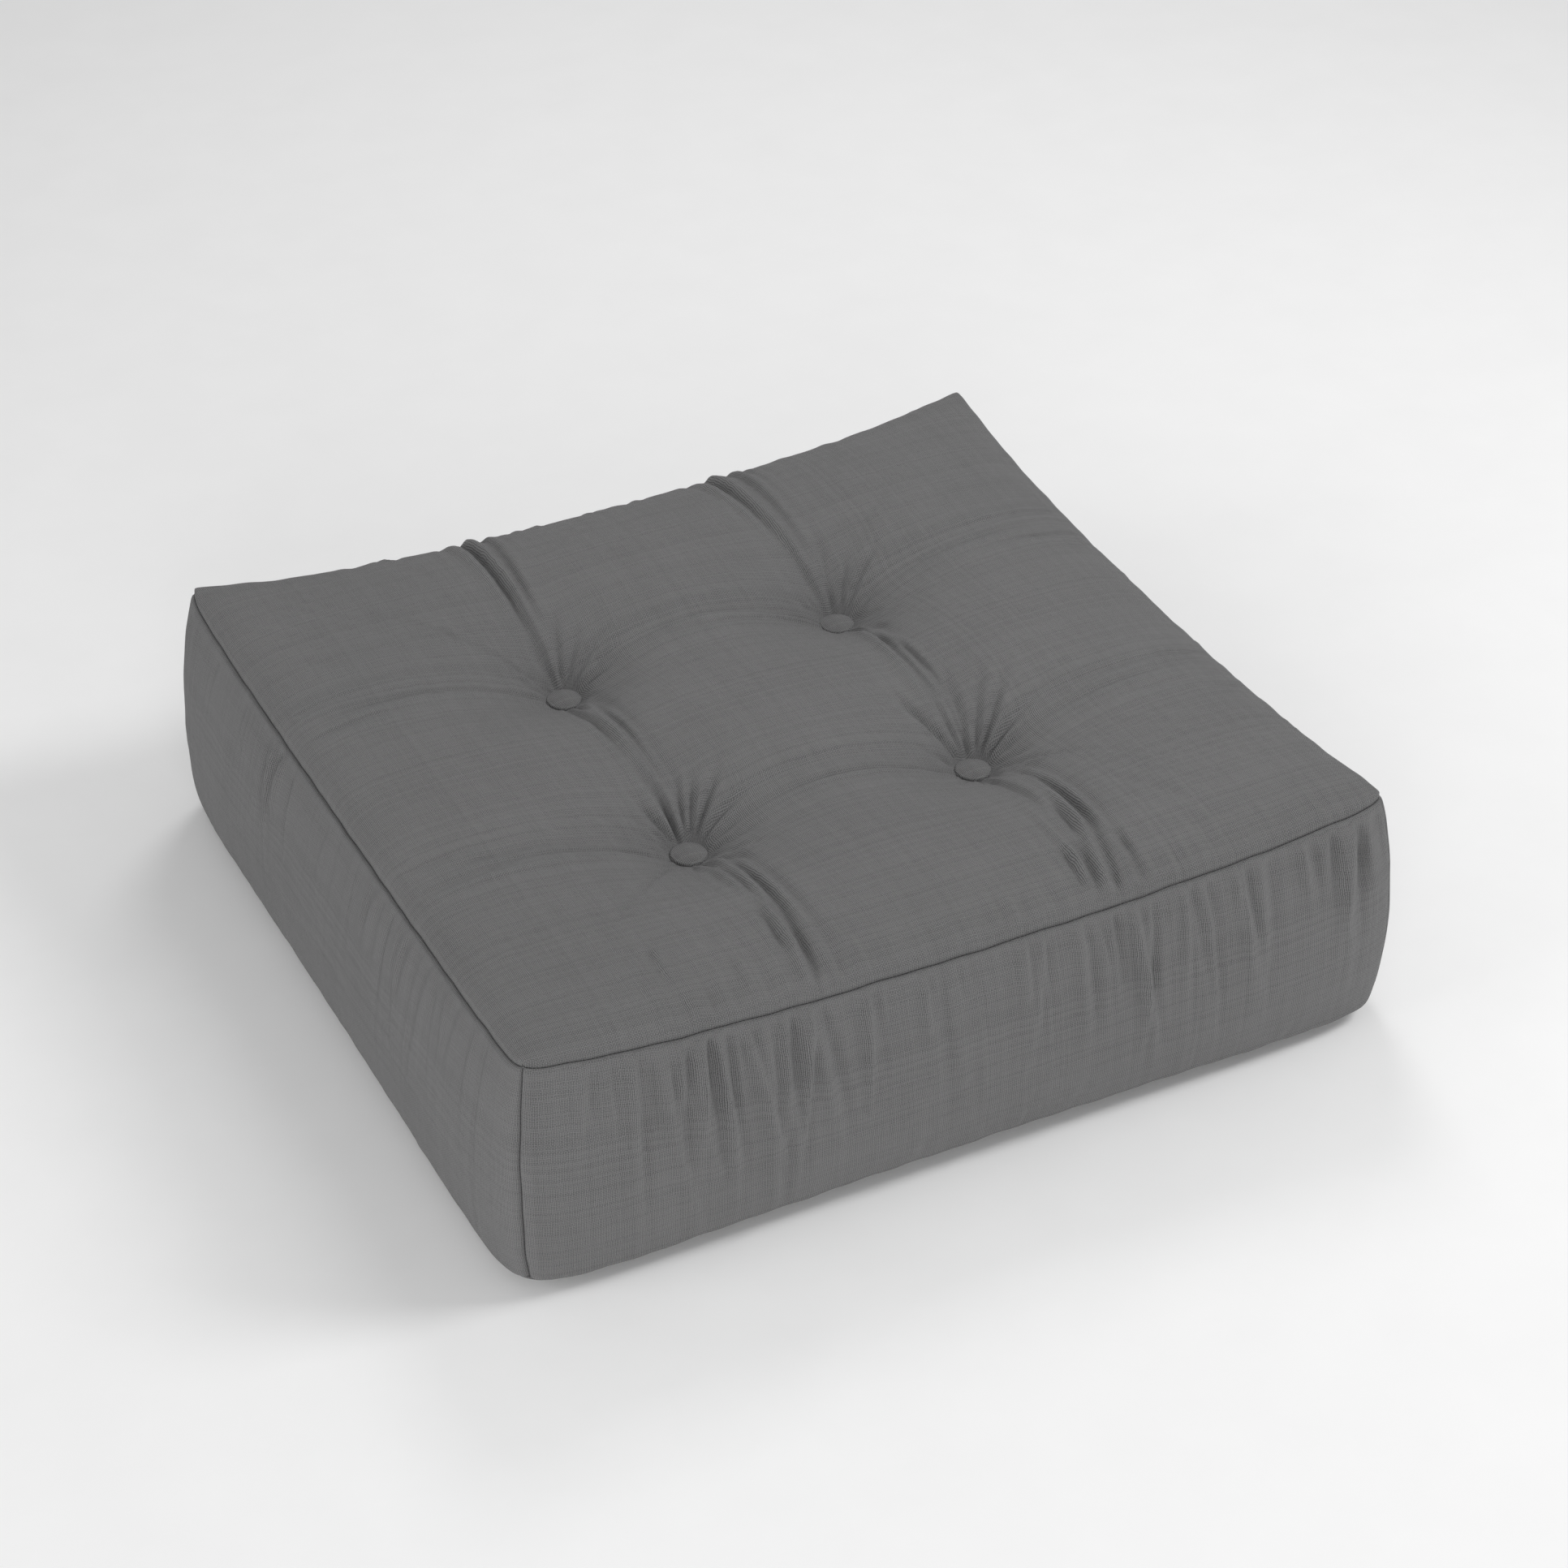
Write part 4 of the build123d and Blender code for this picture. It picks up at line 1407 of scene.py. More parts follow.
@dataclass
class Folding:
    """All folds, pleats, gathers and wavers of the cover."""

    form: StuffedForm
    seam_depth: float = 0.0020
    seam_width: float = 0.0032
    seam_waver: float = 0.0011
    corner_waver: float = 0.0009
    waver_reach: float = 0.016
    crease: float = 0.0042
    crease_width: float = 0.0044
    front_crease_width: float = 0.0042
    strands: tuple[tuple[float, float], ...] = ((0.0, 1.0), (0.015, 0.5), (-0.013, 0.35))

    def top_folds(self) -> list:
        """The folds and pleats of the top panel, placed from the buttons.

        Returns:
            Everything with a relief over the panel's plan.
        """
        back_left, back_right, front_left, front_right = self.form.buttons
        half_x, half_y = self.form.width / 2, self.form.depth / 2
        made: list = []
        for (bx, by), bend_x, end_x in ((back_left, 0.004, 0.006), (back_right, -0.010, -0.014)):
            for shift, size in self.strands:
                begin = (bx + 0.3 * shift, by + 0.017)
                bend = (bx + bend_x + shift, by + 0.10)
                end = (bx + end_x + 1.4 * shift, half_y + 0.02)
                made.append(Fold(begin, bend, end, self.crease * size, self.crease_width, 1.0, 0.15, 0.12))
        for (bx, by), bend_x, end_x in ((front_left, 0.008, -0.011), (front_right, 0.024, -0.012)):
            for shift, size in self.strands:
                begin = (bx + 0.010 + 0.3 * shift, by - 0.014)
                bend = (bx + bend_x + shift, by - 0.10)
                end = (bx + end_x + 1.4 * shift, -half_y - 0.02)
                height, width = self.crease * size, self.front_crease_width
                made.append(Fold(begin, bend, end, height, width, 1.0, 0.15, 0.12))
        for (ax, ay), (bx, by), bow in ((back_left, front_left, -0.008), (back_right, front_right, -0.018)):
            for shift, size in self.strands[:2]:
                begin = (ax + 0.008 + 0.3 * shift, ay - 0.014)
                bend = (ax + bow + shift, (ay + by) / 2 - 0.010)
                end = (bx + 0.3 * shift, by + 0.020)
                made.append(Fold(begin, bend, end, self.crease * size, self.crease_width, 1.0, 0.15, 0.3))
        for (ax, ay), (bx, by) in ((back_left, back_right), (front_left, front_right)):
            bend = ((ax + bx) / 2, ay + 0.035)
            made.append(Fold((ax + 0.017, ay), bend, (bx - 0.017, by), -0.0017, 0.008, 0.5, 0.2, 0.2))
        for bx, by in (back_left, front_left):
            bend, end = ((bx - half_x) / 2, by + 0.022), (-half_x - 0.01, by - 0.010)
            made.append(Fold((bx - 0.017, by), bend, end, -0.0018, 0.009, 0.6, 0.2, 0.5))
        for bx, by in (back_right, front_right):
            bend, end = ((bx + half_x) / 2, by + 0.024), (half_x + 0.01, by + 0.006)
            made.append(Fold((bx + 0.017, by), bend, end, -0.0018, 0.009, 0.6, 0.2, 0.5))
        for aside, start, stop, depth in (
            (-0.098, 0.083, 0.036, 0.0024),
            (-0.050, 0.046, 0.012, 0.0022),
            (0.223, 0.062, 0.005, 0.0034),
            (0.298, 0.026, -0.01, 0.0020),
        ):
            bx = front_left[0] + aside
            bend = (bx - 0.002, -half_y + (start + stop) / 2)
            end = (bx - 0.006, -half_y + stop)
            made.append(Fold((bx, -half_y + start), bend, end, -depth, 0.0034, 0.7, 0.3, 0.3))
        made.append(Pleats(back_left, (16.0, 34.0, 55.0, 74.0), 0.0040, 0.062, 11))
        made.append(Pleats(back_right, (14.0, 33.0, 54.0, 78.0), 0.0042, 0.064, 12))
        made.append(Pleats(front_left, (22.0, 41.0, 58.0, 76.0, 95.0, 116.0), 0.0064, 0.076, 13))
        made.append(Pleats(front_right, (18.0, 38.0, 57.0, 76.0, 96.0, 118.0), 0.0068, 0.078, 14))
        return made

    def bottom_folds(self) -> list:
        """The folds and pleats of the bottom panel.

        Returns:
            Everything with a relief over the panel's plan.
        """
        made: list = []
        half_y = self.form.depth / 2
        for n, (bx, by) in enumerate(self.form.buttons):
            way = 1 if by > 0 else -1
            begin, bend = (bx, by + 0.017 * way), (bx + 0.008, by + 0.1 * way)
            end = (bx + 0.01, (half_y + 0.02) * way)
            made.append(Fold(begin, bend, end, 0.003, 0.007, 0.8, 0.2, 0.2))
            made.append(Pleats((bx, by), tuple(k * 51.0 + 9 * n for k in range(7)), 0.0036, 0.055, 31 + n))
        return made

    def border_puckers(self, face: Face) -> tuple[Puckers, Puckers]:
        """The gathers along a border's top and bottom seams.

        Args:
            face: Which border.

        Returns:
            The top seam's gathers and the bottom seam's.
        """
        lines = {
            Face.FRONT: (-0.130, 0.110, -0.210, 0.315),
            Face.BACK: (-0.114, 0.106),
            Face.LEFT: (0.10, -0.12),
            Face.RIGHT: (0.12, -0.11),
        }[face]
        span = self.form.width if face in (Face.FRONT, Face.BACK) else self.form.depth
        number = list(Face).index(face)
        count, height = (76, 0.0022) if face is Face.FRONT else (44, 0.0014)
        top = Puckers(count, span - 0.04, 40 + number, height, 0.140, 0.0046, lines)
        low = Puckers(16, span - 0.06, 50 + number, 0.0014, 0.06, 0.0050)
        return top, low

    def apply(self, face: Face, box: np.ndarray, points: np.ndarray) -> np.ndarray:
        """Fold a panel.

        Args:
            face: Which panel.
            box: Its points on the flat-sided box.
            points: Its stuffed points.

        Returns:
            The folded points.
        """
        f = self.form
        x, y, z = box[..., 0], box[..., 1], box[..., 2]
        away_from_seams = f.from_seams(face, box)
        points = points.copy()
        if face in (Face.TOP, Face.BOTTOM):
            inside = smooth_step(0.0005, 0.009, away_from_seams)
            folds = self.top_folds() if face is Face.TOP else self.bottom_folds()
            relief = sum(fold.relief(points[..., 0], points[..., 1]) for fold in folds)
            relief = relief + 0.0007 * uneven(x, y, 3 if face is Face.TOP else 4, (0.05, 0.085, 0.14))
            for side in (Face.FRONT, Face.BACK, Face.LEFT, Face.RIGHT):
                if side.out[1]:
                    along, away = x, f.depth / 2 - y * side.out[1]
                else:
                    along, away = y, f.width / 2 - x * side.out[0]
                lines = (-0.130, 0.110, -0.200, 0.02, 0.30) if side is Face.FRONT else ()
                seed = 60 + list(Face).index(side)
                gather = Puckers(20, f.width - 0.08, seed, 0.0013, 0.036, 0.0050, lines)
                relief = relief + gather.relief(along, away)
            seat = np.full(x.shape, 1.0)
            for bx, by in f.buttons:
                from_button = np.hypot(points[..., 0] - bx, points[..., 1] - by)
                seat = np.minimum(seat, smooth_step(0.0140, 0.0185, from_button))
            points[..., 2] += relief * inside * seat * (1 if face is Face.TOP else -1)
            if face is Face.BOTTOM:
                points[..., 2] = np.maximum(points[..., 2], 0.0)
        else:
            along = x if face.out[1] else y
            clear = smooth_step(0.001, 0.012, away_from_seams)
            top, low = self.border_puckers(face)
            relief = top.relief(along, f.top_edge - z) + low.relief(along, z - f.bottom_edge)
            relief = relief + 0.0008 * uneven(along, z, 5 + list(Face).index(face), (0.045, 0.08, 0.13))
            if face is Face.BACK:
                quiet = smooth_step(0.012, 0.04, np.abs(points[..., 2] - f.middle))
                quiet = np.maximum(quiet, smooth_step(f.zip_half_x, f.zip_half_x + 0.03, np.abs(x)))
                relief = relief * quiet
            points += (relief * clear)[..., None] * face.out
        return points + self._seams(box)

    def _seams(self, box: np.ndarray) -> np.ndarray:
        """How the cloth rolls into each seam, and how the seam wavers: the same on both sides of it.

        Args:
            box: Points on the flat-sided box.

        Returns:
            How far each point moves.
        """
        x, y, z = box[..., 0], box[..., 1], box[..., 2]
        out = np.stack([np.sign(x), np.sign(y), np.sign(z - self.form.middle)], -1)
        edges = {name: np.maximum(e, 0) for name, e in zip("xyz", self.form.inward(box))}
        axis = {"x": 0, "y": 1, "z": 2}
        shift = np.zeros(x.shape + (3,))
        total = np.zeros(x.shape)
        for a, b in (("x", "y"), ("x", "z"), ("y", "z")):
            away = np.maximum(edges[a], edges[b])
            roll = np.clip(1 - away / self.seam_width, 0, 1) ** 2
            total += roll
            for name in (a, b):
                shift[..., axis[name]] -= 0.7 * self.seam_depth * roll * out[..., axis[name]]
        shift /= np.maximum(1, total)[..., None]
        for a, lengths, seed in (("x", (0.031, 0.058, 0.11), 81), ("y", (0.034, 0.061, 0.12), 82)):
            along = y if a == "x" else x
            away = np.maximum(edges[a], edges["z"])
            from_corner = edges["y" if a == "x" else "x"]
            fade = np.exp(-((away / self.waver_reach) ** 2)) * smooth_step(0.0, 0.03, from_corner)
            side = (out[..., axis[a]] > 0) * 7 + (out[..., 2] > 0) * 3
            for kind in (0, 3, 7, 10):
                wave = ripple(along, seed + kind, lengths)
                shift[..., 2] += (side == kind) * self.seam_waver * fade * wave
        away = np.maximum(edges["x"], edges["y"])
        fade = np.exp(-((away / self.waver_reach) ** 2)) * smooth_step(0.0, 0.03, edges["z"])
        shift[..., 0] += self.corner_waver * fade * ripple(z, 91, (0.045, 0.09))
        shift[..., 1] += self.corner_waver * fade * ripple(z, 92, (0.05, 0.1))
        return shift


# The cover


@dataclass
class Cover:
    """The cushion's canvas cover: two panels, four borders and the thread in their seams."""

    form: StuffedForm
    wardrobe: Wardrobe
    cloth_t: float = 0.0012
    panel_step: float = 0.0031
    panel_step_deep: float = 0.0040
    crowd_step: float = 0.0020
    crowd_r: float = 0.036
    border_step: float = 0.0023
    border_rise: float = 0.0042
    border_fold_share: float = 0.35
    fold_share: float = 0.8
    fold_cap: float = 0.007
    broad: float = 7.0
    zip_window: float = 0.0046
    zip_end: float = 0.286
    closed_gap: float = 0.0003
    hem_roll: float = 0.003
    hem_turn: float = 0.0013
    thread_r: float = 0.00042
    roll_over: float = 0.045
    stitch: float = 0.0032
    panels: dict[str, bpy.types.Object] = field(default_factory=dict)
    moved: dict[Face, np.ndarray] = field(default_factory=dict)

    def __post_init__(self) -> None:
        """Set up the folding."""
        self.folding = Folding(self.form)

    def simulate(self) -> None:
        """Run the cloth, keeping only its folds: the broad movement is taken off and the rest is capped."""
        for face, moved in ClothRun(self.form).run().items():
            folds = moved - blurred(moved, self.broad)
            length = np.linalg.norm(folds, axis=-1, keepdims=True) + 1e-12
            capped = self.fold_share * np.tanh(length / self.fold_cap) * self.fold_cap
            self.moved[face] = folds * capped / length

    def stations(self, low: float, high: float, step: float, focus: Sequence[float] = ()) -> np.ndarray:
        """Places along one side of a panel, closer together by its edges and by the buttons.

        Args:
            low: The side's start.
            high: The side's end.
            step: The widest spacing.
            focus: Places to crowd round.

        Returns:
            The places.
        """
        ends = np.array([0.0, 0.7, 1.5, 2.5, 4.0]) * MM
        fine = np.linspace(low + 6.0 * MM, high - 6.0 * MM, 4001)
        spacing = np.full(fine.shape, step)
        for place in focus:
            near = 1 - smooth_step(self.crowd_r, self.crowd_r + 0.02, np.abs(fine - place))
            spacing = np.minimum(spacing, step + (self.crowd_step - step) * near)
        total = np.concatenate([[0.0], np.cumsum((1 / spacing[1:] + 1 / spacing[:-1]) / 2 * np.diff(fine))])
        inner = np.interp(np.linspace(0, total[-1], int(total[-1]) + 1), total, fine)
        return np.concatenate([low + ends, inner, (high - ends)[::-1]])

    def surface(
        self, face: Face, a: np.ndarray, b: np.ndarray, span_z: Optional[Callable] = None
    ) -> tuple[np.ndarray, np.ndarray]:
        """Points of a face on a grid of places.

        Args:
            face: Which face.
            a: Places along its first direction.
            b: Places along its second direction.
            span_z: For a border strip, gives its lowest and highest place at each place along it.

        Returns:
            The points on the box and the folded points.
        """
        f = self.form
        first, second = np.meshgrid(a, b, indexing="ij")
        if span_z is not None:
            low, high = span_z(first)
            second = low + (high - low) * (second - b[0]) / (b[-1] - b[0])
        fixed = np.ones_like(first)
        if face in (Face.TOP, Face.BOTTOM):
            box = np.stack([first, second, fixed * (f.top_edge if face is Face.TOP else f.bottom_edge)], -1)
        elif face in (Face.FRONT, Face.BACK):
            box = np.stack([first, fixed * f.depth / 2 * face.out[1], second], -1)
        else:
            box = np.stack([fixed * f.width / 2 * face.out[0], first, second], -1)
        points = f.place(face, box)
        if face in self.moved:
            points = points + self._simulated(face, a, b, box)
        return box, self.folding.apply(face, box, points)

    def _simulated(self, face: Face, a: np.ndarray, b: np.ndarray, box: np.ndarray) -> np.ndarray:
        """The simulated folds on a face, faded out by its seams, its zip and its buttons.

        Args:
            face: Which face.
            a: Places along its first direction.
            b: Places along its second direction.
            box: The points on the box.

        Returns:
            How far each point moves.
        """
        f = self.form
        flat = face in (Face.TOP, Face.BOTTOM)
        grid = self.moved[face]
        rows, columns = grid.shape[:2]
        low = (-f.width / 2 if flat or face.out[1] else -f.depth / 2, -f.depth / 2 if flat else f.bottom_edge)
        size = (f.width if flat or face.out[1] else f.depth, f.depth if flat else f.height)
        folds = resampled(grid, (a - low[0]) / size[0] * (rows - 1), (b - low[1]) / size[1] * (columns - 1))
        share = smooth_step(0.002, 0.020, f.from_seams(face, box))
        if flat:
            for bx, by in f.buttons:
                from_button = np.hypot(box[..., 0] - bx, box[..., 1] - by)
                share = share * smooth_step(0.014, 0.034, from_button)
        else:
            share = share * self.border_fold_share
        if face is Face.BACK:
            share = share * smooth_step(0.012, 0.04, np.abs(box[..., 2] - f.middle))
        if face is Face.BOTTOM:
            folds = folds * np.array([1, 1, 0.5])
        return folds * share[..., None]

    def build(self) -> None:
        """Make the panels, the borders and the seam threads."""
        f = self.form
        focus_x, focus_y = zip(*f.buttons)
        wide = self.stations(-f.width / 2, f.width / 2, self.panel_step, focus_x)
        deep = self.stations(-f.depth / 2, f.depth / 2, self.panel_step_deep, focus_y)
        self._panel("top_panel", Face.TOP, wide, deep, "cover_top_panel")
        self._panel("bottom_panel", Face.BOTTOM, wide, deep, "cover_bottom_panel")
        xs = self.stations(-f.width / 2, f.width / 2, self.border_step)
        ys = self.stations(-f.depth / 2, f.depth / 2, self.border_step)
        zs = self.stations(f.bottom_edge, f.top_edge, self.border_rise)
        self._panel("front_border", Face.FRONT, xs, zs, "border_front")
        self._panel("left_border", Face.LEFT, ys, zs, "border_left")
        self._panel("right_border", Face.RIGHT, ys, zs, "border_right")
        self._back_strip("back_border_upper", 1, xs, "border_back_upper")
        self._back_strip("back_border_lower", -1, xs, "border_back_lower")
        self._seam_threads()

    def _panel(self, name: str, face: Face, a: np.ndarray, b: np.ndarray, node: str) -> None:
        """Make one whole panel.

        Args:
            name: Its name.
            face: Which face it covers.
            a: Places along its first direction.
            b: Places along its second direction.
            node: The CAD node it stands for.
        """
        box, points = self.surface(face, a, b)
        flat = face in (Face.TOP, Face.BOTTOM)
        places = box[..., :2] if flat else box[..., (0, 2) if face.out[1] else (1, 2)]
        self._finish(name, points, self.cloth_map(places, points), face, node)

    def cloth_map(self, places: np.ndarray, points: np.ndarray) -> np.ndarray:
        """Lay a panel's cloth flat, so that its weave isn't stretched where it rolls over to a seam.

        Args:
            places: The panel's points on its flat box face.
            points: Its folded points.

        Returns:
            The place of each point in the flat cloth.
        """
        laid = places.copy()
        for way in (0, 1):
            along = places[..., way]
            flat_steps = np.diff(along, axis=way)
            true_steps = np.linalg.norm(np.diff(points, axis=way), axis=-1)
            centre = (np.take(along, [0], way) + np.take(along, [-1], way)) / 2
            half = np.abs(np.take(along, [-1], way) - np.take(along, [0], way)) / 2
            middle = along - centre
            between = (np.delete(middle, 0, way) + np.delete(middle, -1, way)) / 2
            near = 1 - smooth_step(self.roll_over * 0.7, self.roll_over, half - np.abs(between))
            steps = flat_steps + near * (true_steps - flat_steps)
            total = np.concatenate([np.zeros_like(centre), np.cumsum(steps, axis=way)], axis=way)
            count = along.shape[way] // 2
            laid[..., way] = total - np.take(total, [count], way) + np.take(along, [count], way)
        return laid

    def _back_strip(self, name: str, up: int, xs: np.ndarray, node: str) -> None:
        """Make one strip of the back border, from its seam to the zip.

        Args:
            name: Its name.
            up: 1 above the zip and -1 below it.
            xs: Places across.
            node: The CAD node it stands for.
        """
        f = self.form
        low, high = (f.middle, f.top_edge) if up > 0 else (f.bottom_edge, f.middle)
        zs = self.stations(low, high, self.border_rise)

        def span(x: np.ndarray) -> tuple[np.ndarray, np.ndarray]:
            """The strip's edges at each place along it.

            Args:
                x: Places across.

            Returns:
                The low edge and the high edge.
            """
            closing = smooth_step(self.zip_end - 0.002, self.zip_end + 0.003, np.abs(x))
            gap = self.closed_gap + (self.zip_window - self.closed_gap) * (1 - closing)
            if up > 0:
                return f.middle + gap, np.full(x.shape, f.top_edge)
            return np.full(x.shape, f.bottom_edge), f.middle - gap

        box, points = self.surface(Face.BACK, xs, zs, span)
        edge = box[:, :1, 2] if up > 0 else box[:, -1:, 2]
        roll = np.clip(1 - np.abs(box[..., 2] - edge) / self.hem_roll, 0, 1) ** 2
        points[..., 1] -= self.hem_turn * roll
        self._finish(name, points, self.cloth_map(box[..., (0, 2)], points), Face.BACK, node)

    def _finish(self, name: str, points: np.ndarray, cloth_map: np.ndarray, face: Face, node: str) -> None:
        """Turn a grid of points into a thick cloth panel.

        Args:
            name: Its name.
            points: The grid of points.
            cloth_map: Where each point is in the flat cloth.
            face: Which face it covers.
            node: The CAD node it stands for.
        """
        flip = face in (Face.BOTTOM, Face.BACK, Face.LEFT)
        piece = make_piece(name, points, grid_quads(*points.shape[:2], flip), cloth_map)
        thick = piece.modifiers.new("Cloth thickness", "SOLIDIFY")
        thick.thickness = self.cloth_t
        thick.offset = -1.0
        thick.use_even_offset = False
        self.wardrobe.dress(piece, "cover_cloth")
        settle(piece, CUSHION, "cover_cloth", node)
        self.panels[name] = piece
        LOG.info("%s: %d by %d points", name, *points.shape[:2])

    def seam(self, face: Face, start: float, end: float, level: float) -> np.ndarray:
        """Points along the seam at a border's top or bottom edge.

        Args:
            face: Which border.
            start: Where along it the seam starts.
            end: Where it ends.
            level: The seam's height on the box.

        Returns:
            The seam's points.
        """
        places = np.linspace(start, end, int(abs(end - start) / self.stitch * 4) + 1)
        fixed = np.full(places.shape, level)
        if face.out[1]:
            box = np.stack([places, np.full(places.shape, self.form.depth / 2 * face.out[1]), fixed], -1)
        else:
            box = np.stack([np.full(places.shape, self.form.width / 2 * face.out[0]), places, fixed], -1)
        points = self.form.place(face, box[:, None])
        return self.folding.apply(face, box[:, None], points)[:, 0]

    def _seam_threads(self) -> None:
        """Lay stitched thread in the seams."""
        f = self.form
        x, y = f.width / 2, f.depth / 2
        rounds = {"top_seam_stitching": f.top_edge, "bottom_seam_stitching": f.bottom_edge}
        nodes = {"top_seam_stitching": "top_seam_thread", "bottom_seam_stitching": "bottom_seam_thread"}
        for name, level in rounds.items():
            sides = ((Face.FRONT, -x, x), (Face.RIGHT, -y, y), (Face.BACK, x, -x), (Face.LEFT, y, -y))
            path = np.concatenate([self.seam(face, a, b, level)[:-1] for face, a, b in sides])
            self._thread(name, [self._stitched(path, True)], nodes[name])
        corners = []
        heights = np.linspace(f.bottom_edge + 2 * MM, f.top_edge - 2 * MM, int(f.height / self.stitch * 4))
        for sx in (-1, 1):
            for sy in (-1, 1):
                box = np.stack([np.full(heights.shape, sx * x), np.full(heights.shape, sy * y), heights], -1)
                face = Face.FRONT if sy < 0 else Face.BACK
                points = self.folding.apply(face, box[:, None], f.place(face, box[:, None]))[:, 0]
                corners.append(self._stitched(points, False))
        self._thread("corner_seam_stitching", corners, "corner_seam_threads")

    def _stitched(self, path: np.ndarray, closed: bool) -> tuple[np.ndarray, list]:
        """A thread along a path that thins where each stitch goes down."""
        wave = np.abs(np.sin(np.arange(len(path)) * np.pi / 4))
        return tube(path, self.thread_r * (0.55 + 0.45 * wave), 6, closed)

    def _thread(self, name: str, parts: list, node: str) -> None:
        """Make one thread piece.

        Args:
            name: Its name.
            parts: The vertices and faces of its threads.
            node: The CAD node it stands for.
        """
        points, faces = joined(parts)
        piece = make_piece(name, points, faces)
        self.wardrobe.dress(piece, "sewing_thread")
        settle(piece, CUSHION, "sewing_thread", node)
        LOG.info("%s: %d points", name, len(points))


@dataclass
class Filling:
    """The wadding and the foam inside the cover, set in from its folded form."""

    cover: Cover
    wardrobe: Wardrobe
    step: float = 0.009
    wadding_in: float = 0.0085
    wadding_t: float = 0.008
    core_in: float = 0.018
    hole_r: float = 0.006
    squeeze: float = 0.05
    weld: float = 0.0015

    def _grid(self, face: Face) -> tuple[np.ndarray, np.ndarray, np.ndarray]:
        """Lay a coarse grid over one face.

        Args:
            face: Which face.

        Returns:
            Its points on the box, its folded points and its outward normals.
        """
        f = self.cover.form
        first = (f.depth if face.out[0] else f.width) / 2
        low, high = (-f.depth / 2, f.depth / 2) if face.out[2] else (f.bottom_edge, f.top_edge)
        a = np.linspace(-first, first, int(2 * first / self.step) + 1)
        b = np.linspace(low, high, int((high - low) / self.step) + 1)
        box, points = self.cover.surface(face, a, b)
        du, dv = np.gradient(points, axis=0), np.gradient(points, axis=1)
        normal = np.cross(du, dv)
        normal *= np.sign(np.sum(normal * face.out, -1, keepdims=True))
        normal /= np.linalg.norm(normal, axis=-1, keepdims=True) + 1e-12
        return box, points, normal

    def _inset(self, face: Face, inset: float) -> tuple[np.ndarray, list]:
        """One face of the filling, set in from the cover, squeezed in at its edges to meet its neighbours.

        Args:
            face: Which face.
            inset: How far it is set in.

        Returns:
            Vertices and quads, without those that a twine passes through.
        """
        f = self.cover.form
        box, points, normal = self._grid(face)
        shrink = np.array([1 - inset / (f.width / 2), 1 - inset / (f.depth / 2), 1.0])
        meet = points * shrink
        meet[..., 2] = f.middle + (points[..., 2] - f.middle) * (1 - inset / (f.height / 2))
        share = smooth_step(0.0, self.squeeze, f.from_seams(face, box))[..., None]
        moved = meet * (1 - share) + (points - normal * inset) * share
        flip = face in (Face.BOTTOM, Face.BACK, Face.LEFT)
        rows, columns = points.shape[:2]
        keep = []
        for quad in grid_quads(rows, columns, flip):
            if face.out[2]:
                middle = moved.reshape(-1, 3)[list(quad)].mean(0)
                if min(math.hypot(middle[0] - bx, middle[1] - by) for bx, by in f.buttons) < self.hole_r:
                    continue
            keep.append(quad)
        return moved.reshape(-1, 3), keep

    def build(self) -> None:
        """Make the three pieces of wadding and the foam core."""
        sides = (Face.FRONT, Face.RIGHT, Face.BACK, Face.LEFT)
        layers = {
            "top_wadding": ((Face.TOP,), "wadding_top"),
            "bottom_wadding": ((Face.BOTTOM,), "wadding_bottom"),
            "border_wadding": (sides, "wadding_border"),
        }
        for name, (faces, node) in layers.items():
            points, quads = joined([self._inset(face, self.wadding_in) for face in faces])
            piece = make_piece(name, points, quads)
            thick = piece.modifiers.new("Loft", "SOLIDIFY")
            thick.thickness = self.wadding_t
            thick.offset = -1.0
            self._dress(piece, "wadding", node)
        points, quads = joined([self._inset(face, self.core_in) for face in Face])
        core = make_piece("core_foam", points, quads)
        weld = core.modifiers.new("Joined edges", "WELD")
        weld.merge_threshold = self.weld
        self._dress(core, "foam", "foam_core")

    def _dress(self, piece: bpy.types.Object, slot: str, node: str) -> None:
        """Finish one piece of filling.

        Args:
            piece: The piece.
            slot: The record's slot.
            node: The CAD node it stands for.
        """
        self.wardrobe.dress(piece, slot)
        settle(piece, CUSHION, slot, node)
        LOG.info("%s: %d faces", piece.name, len(piece.data.polygons))


# Buttons


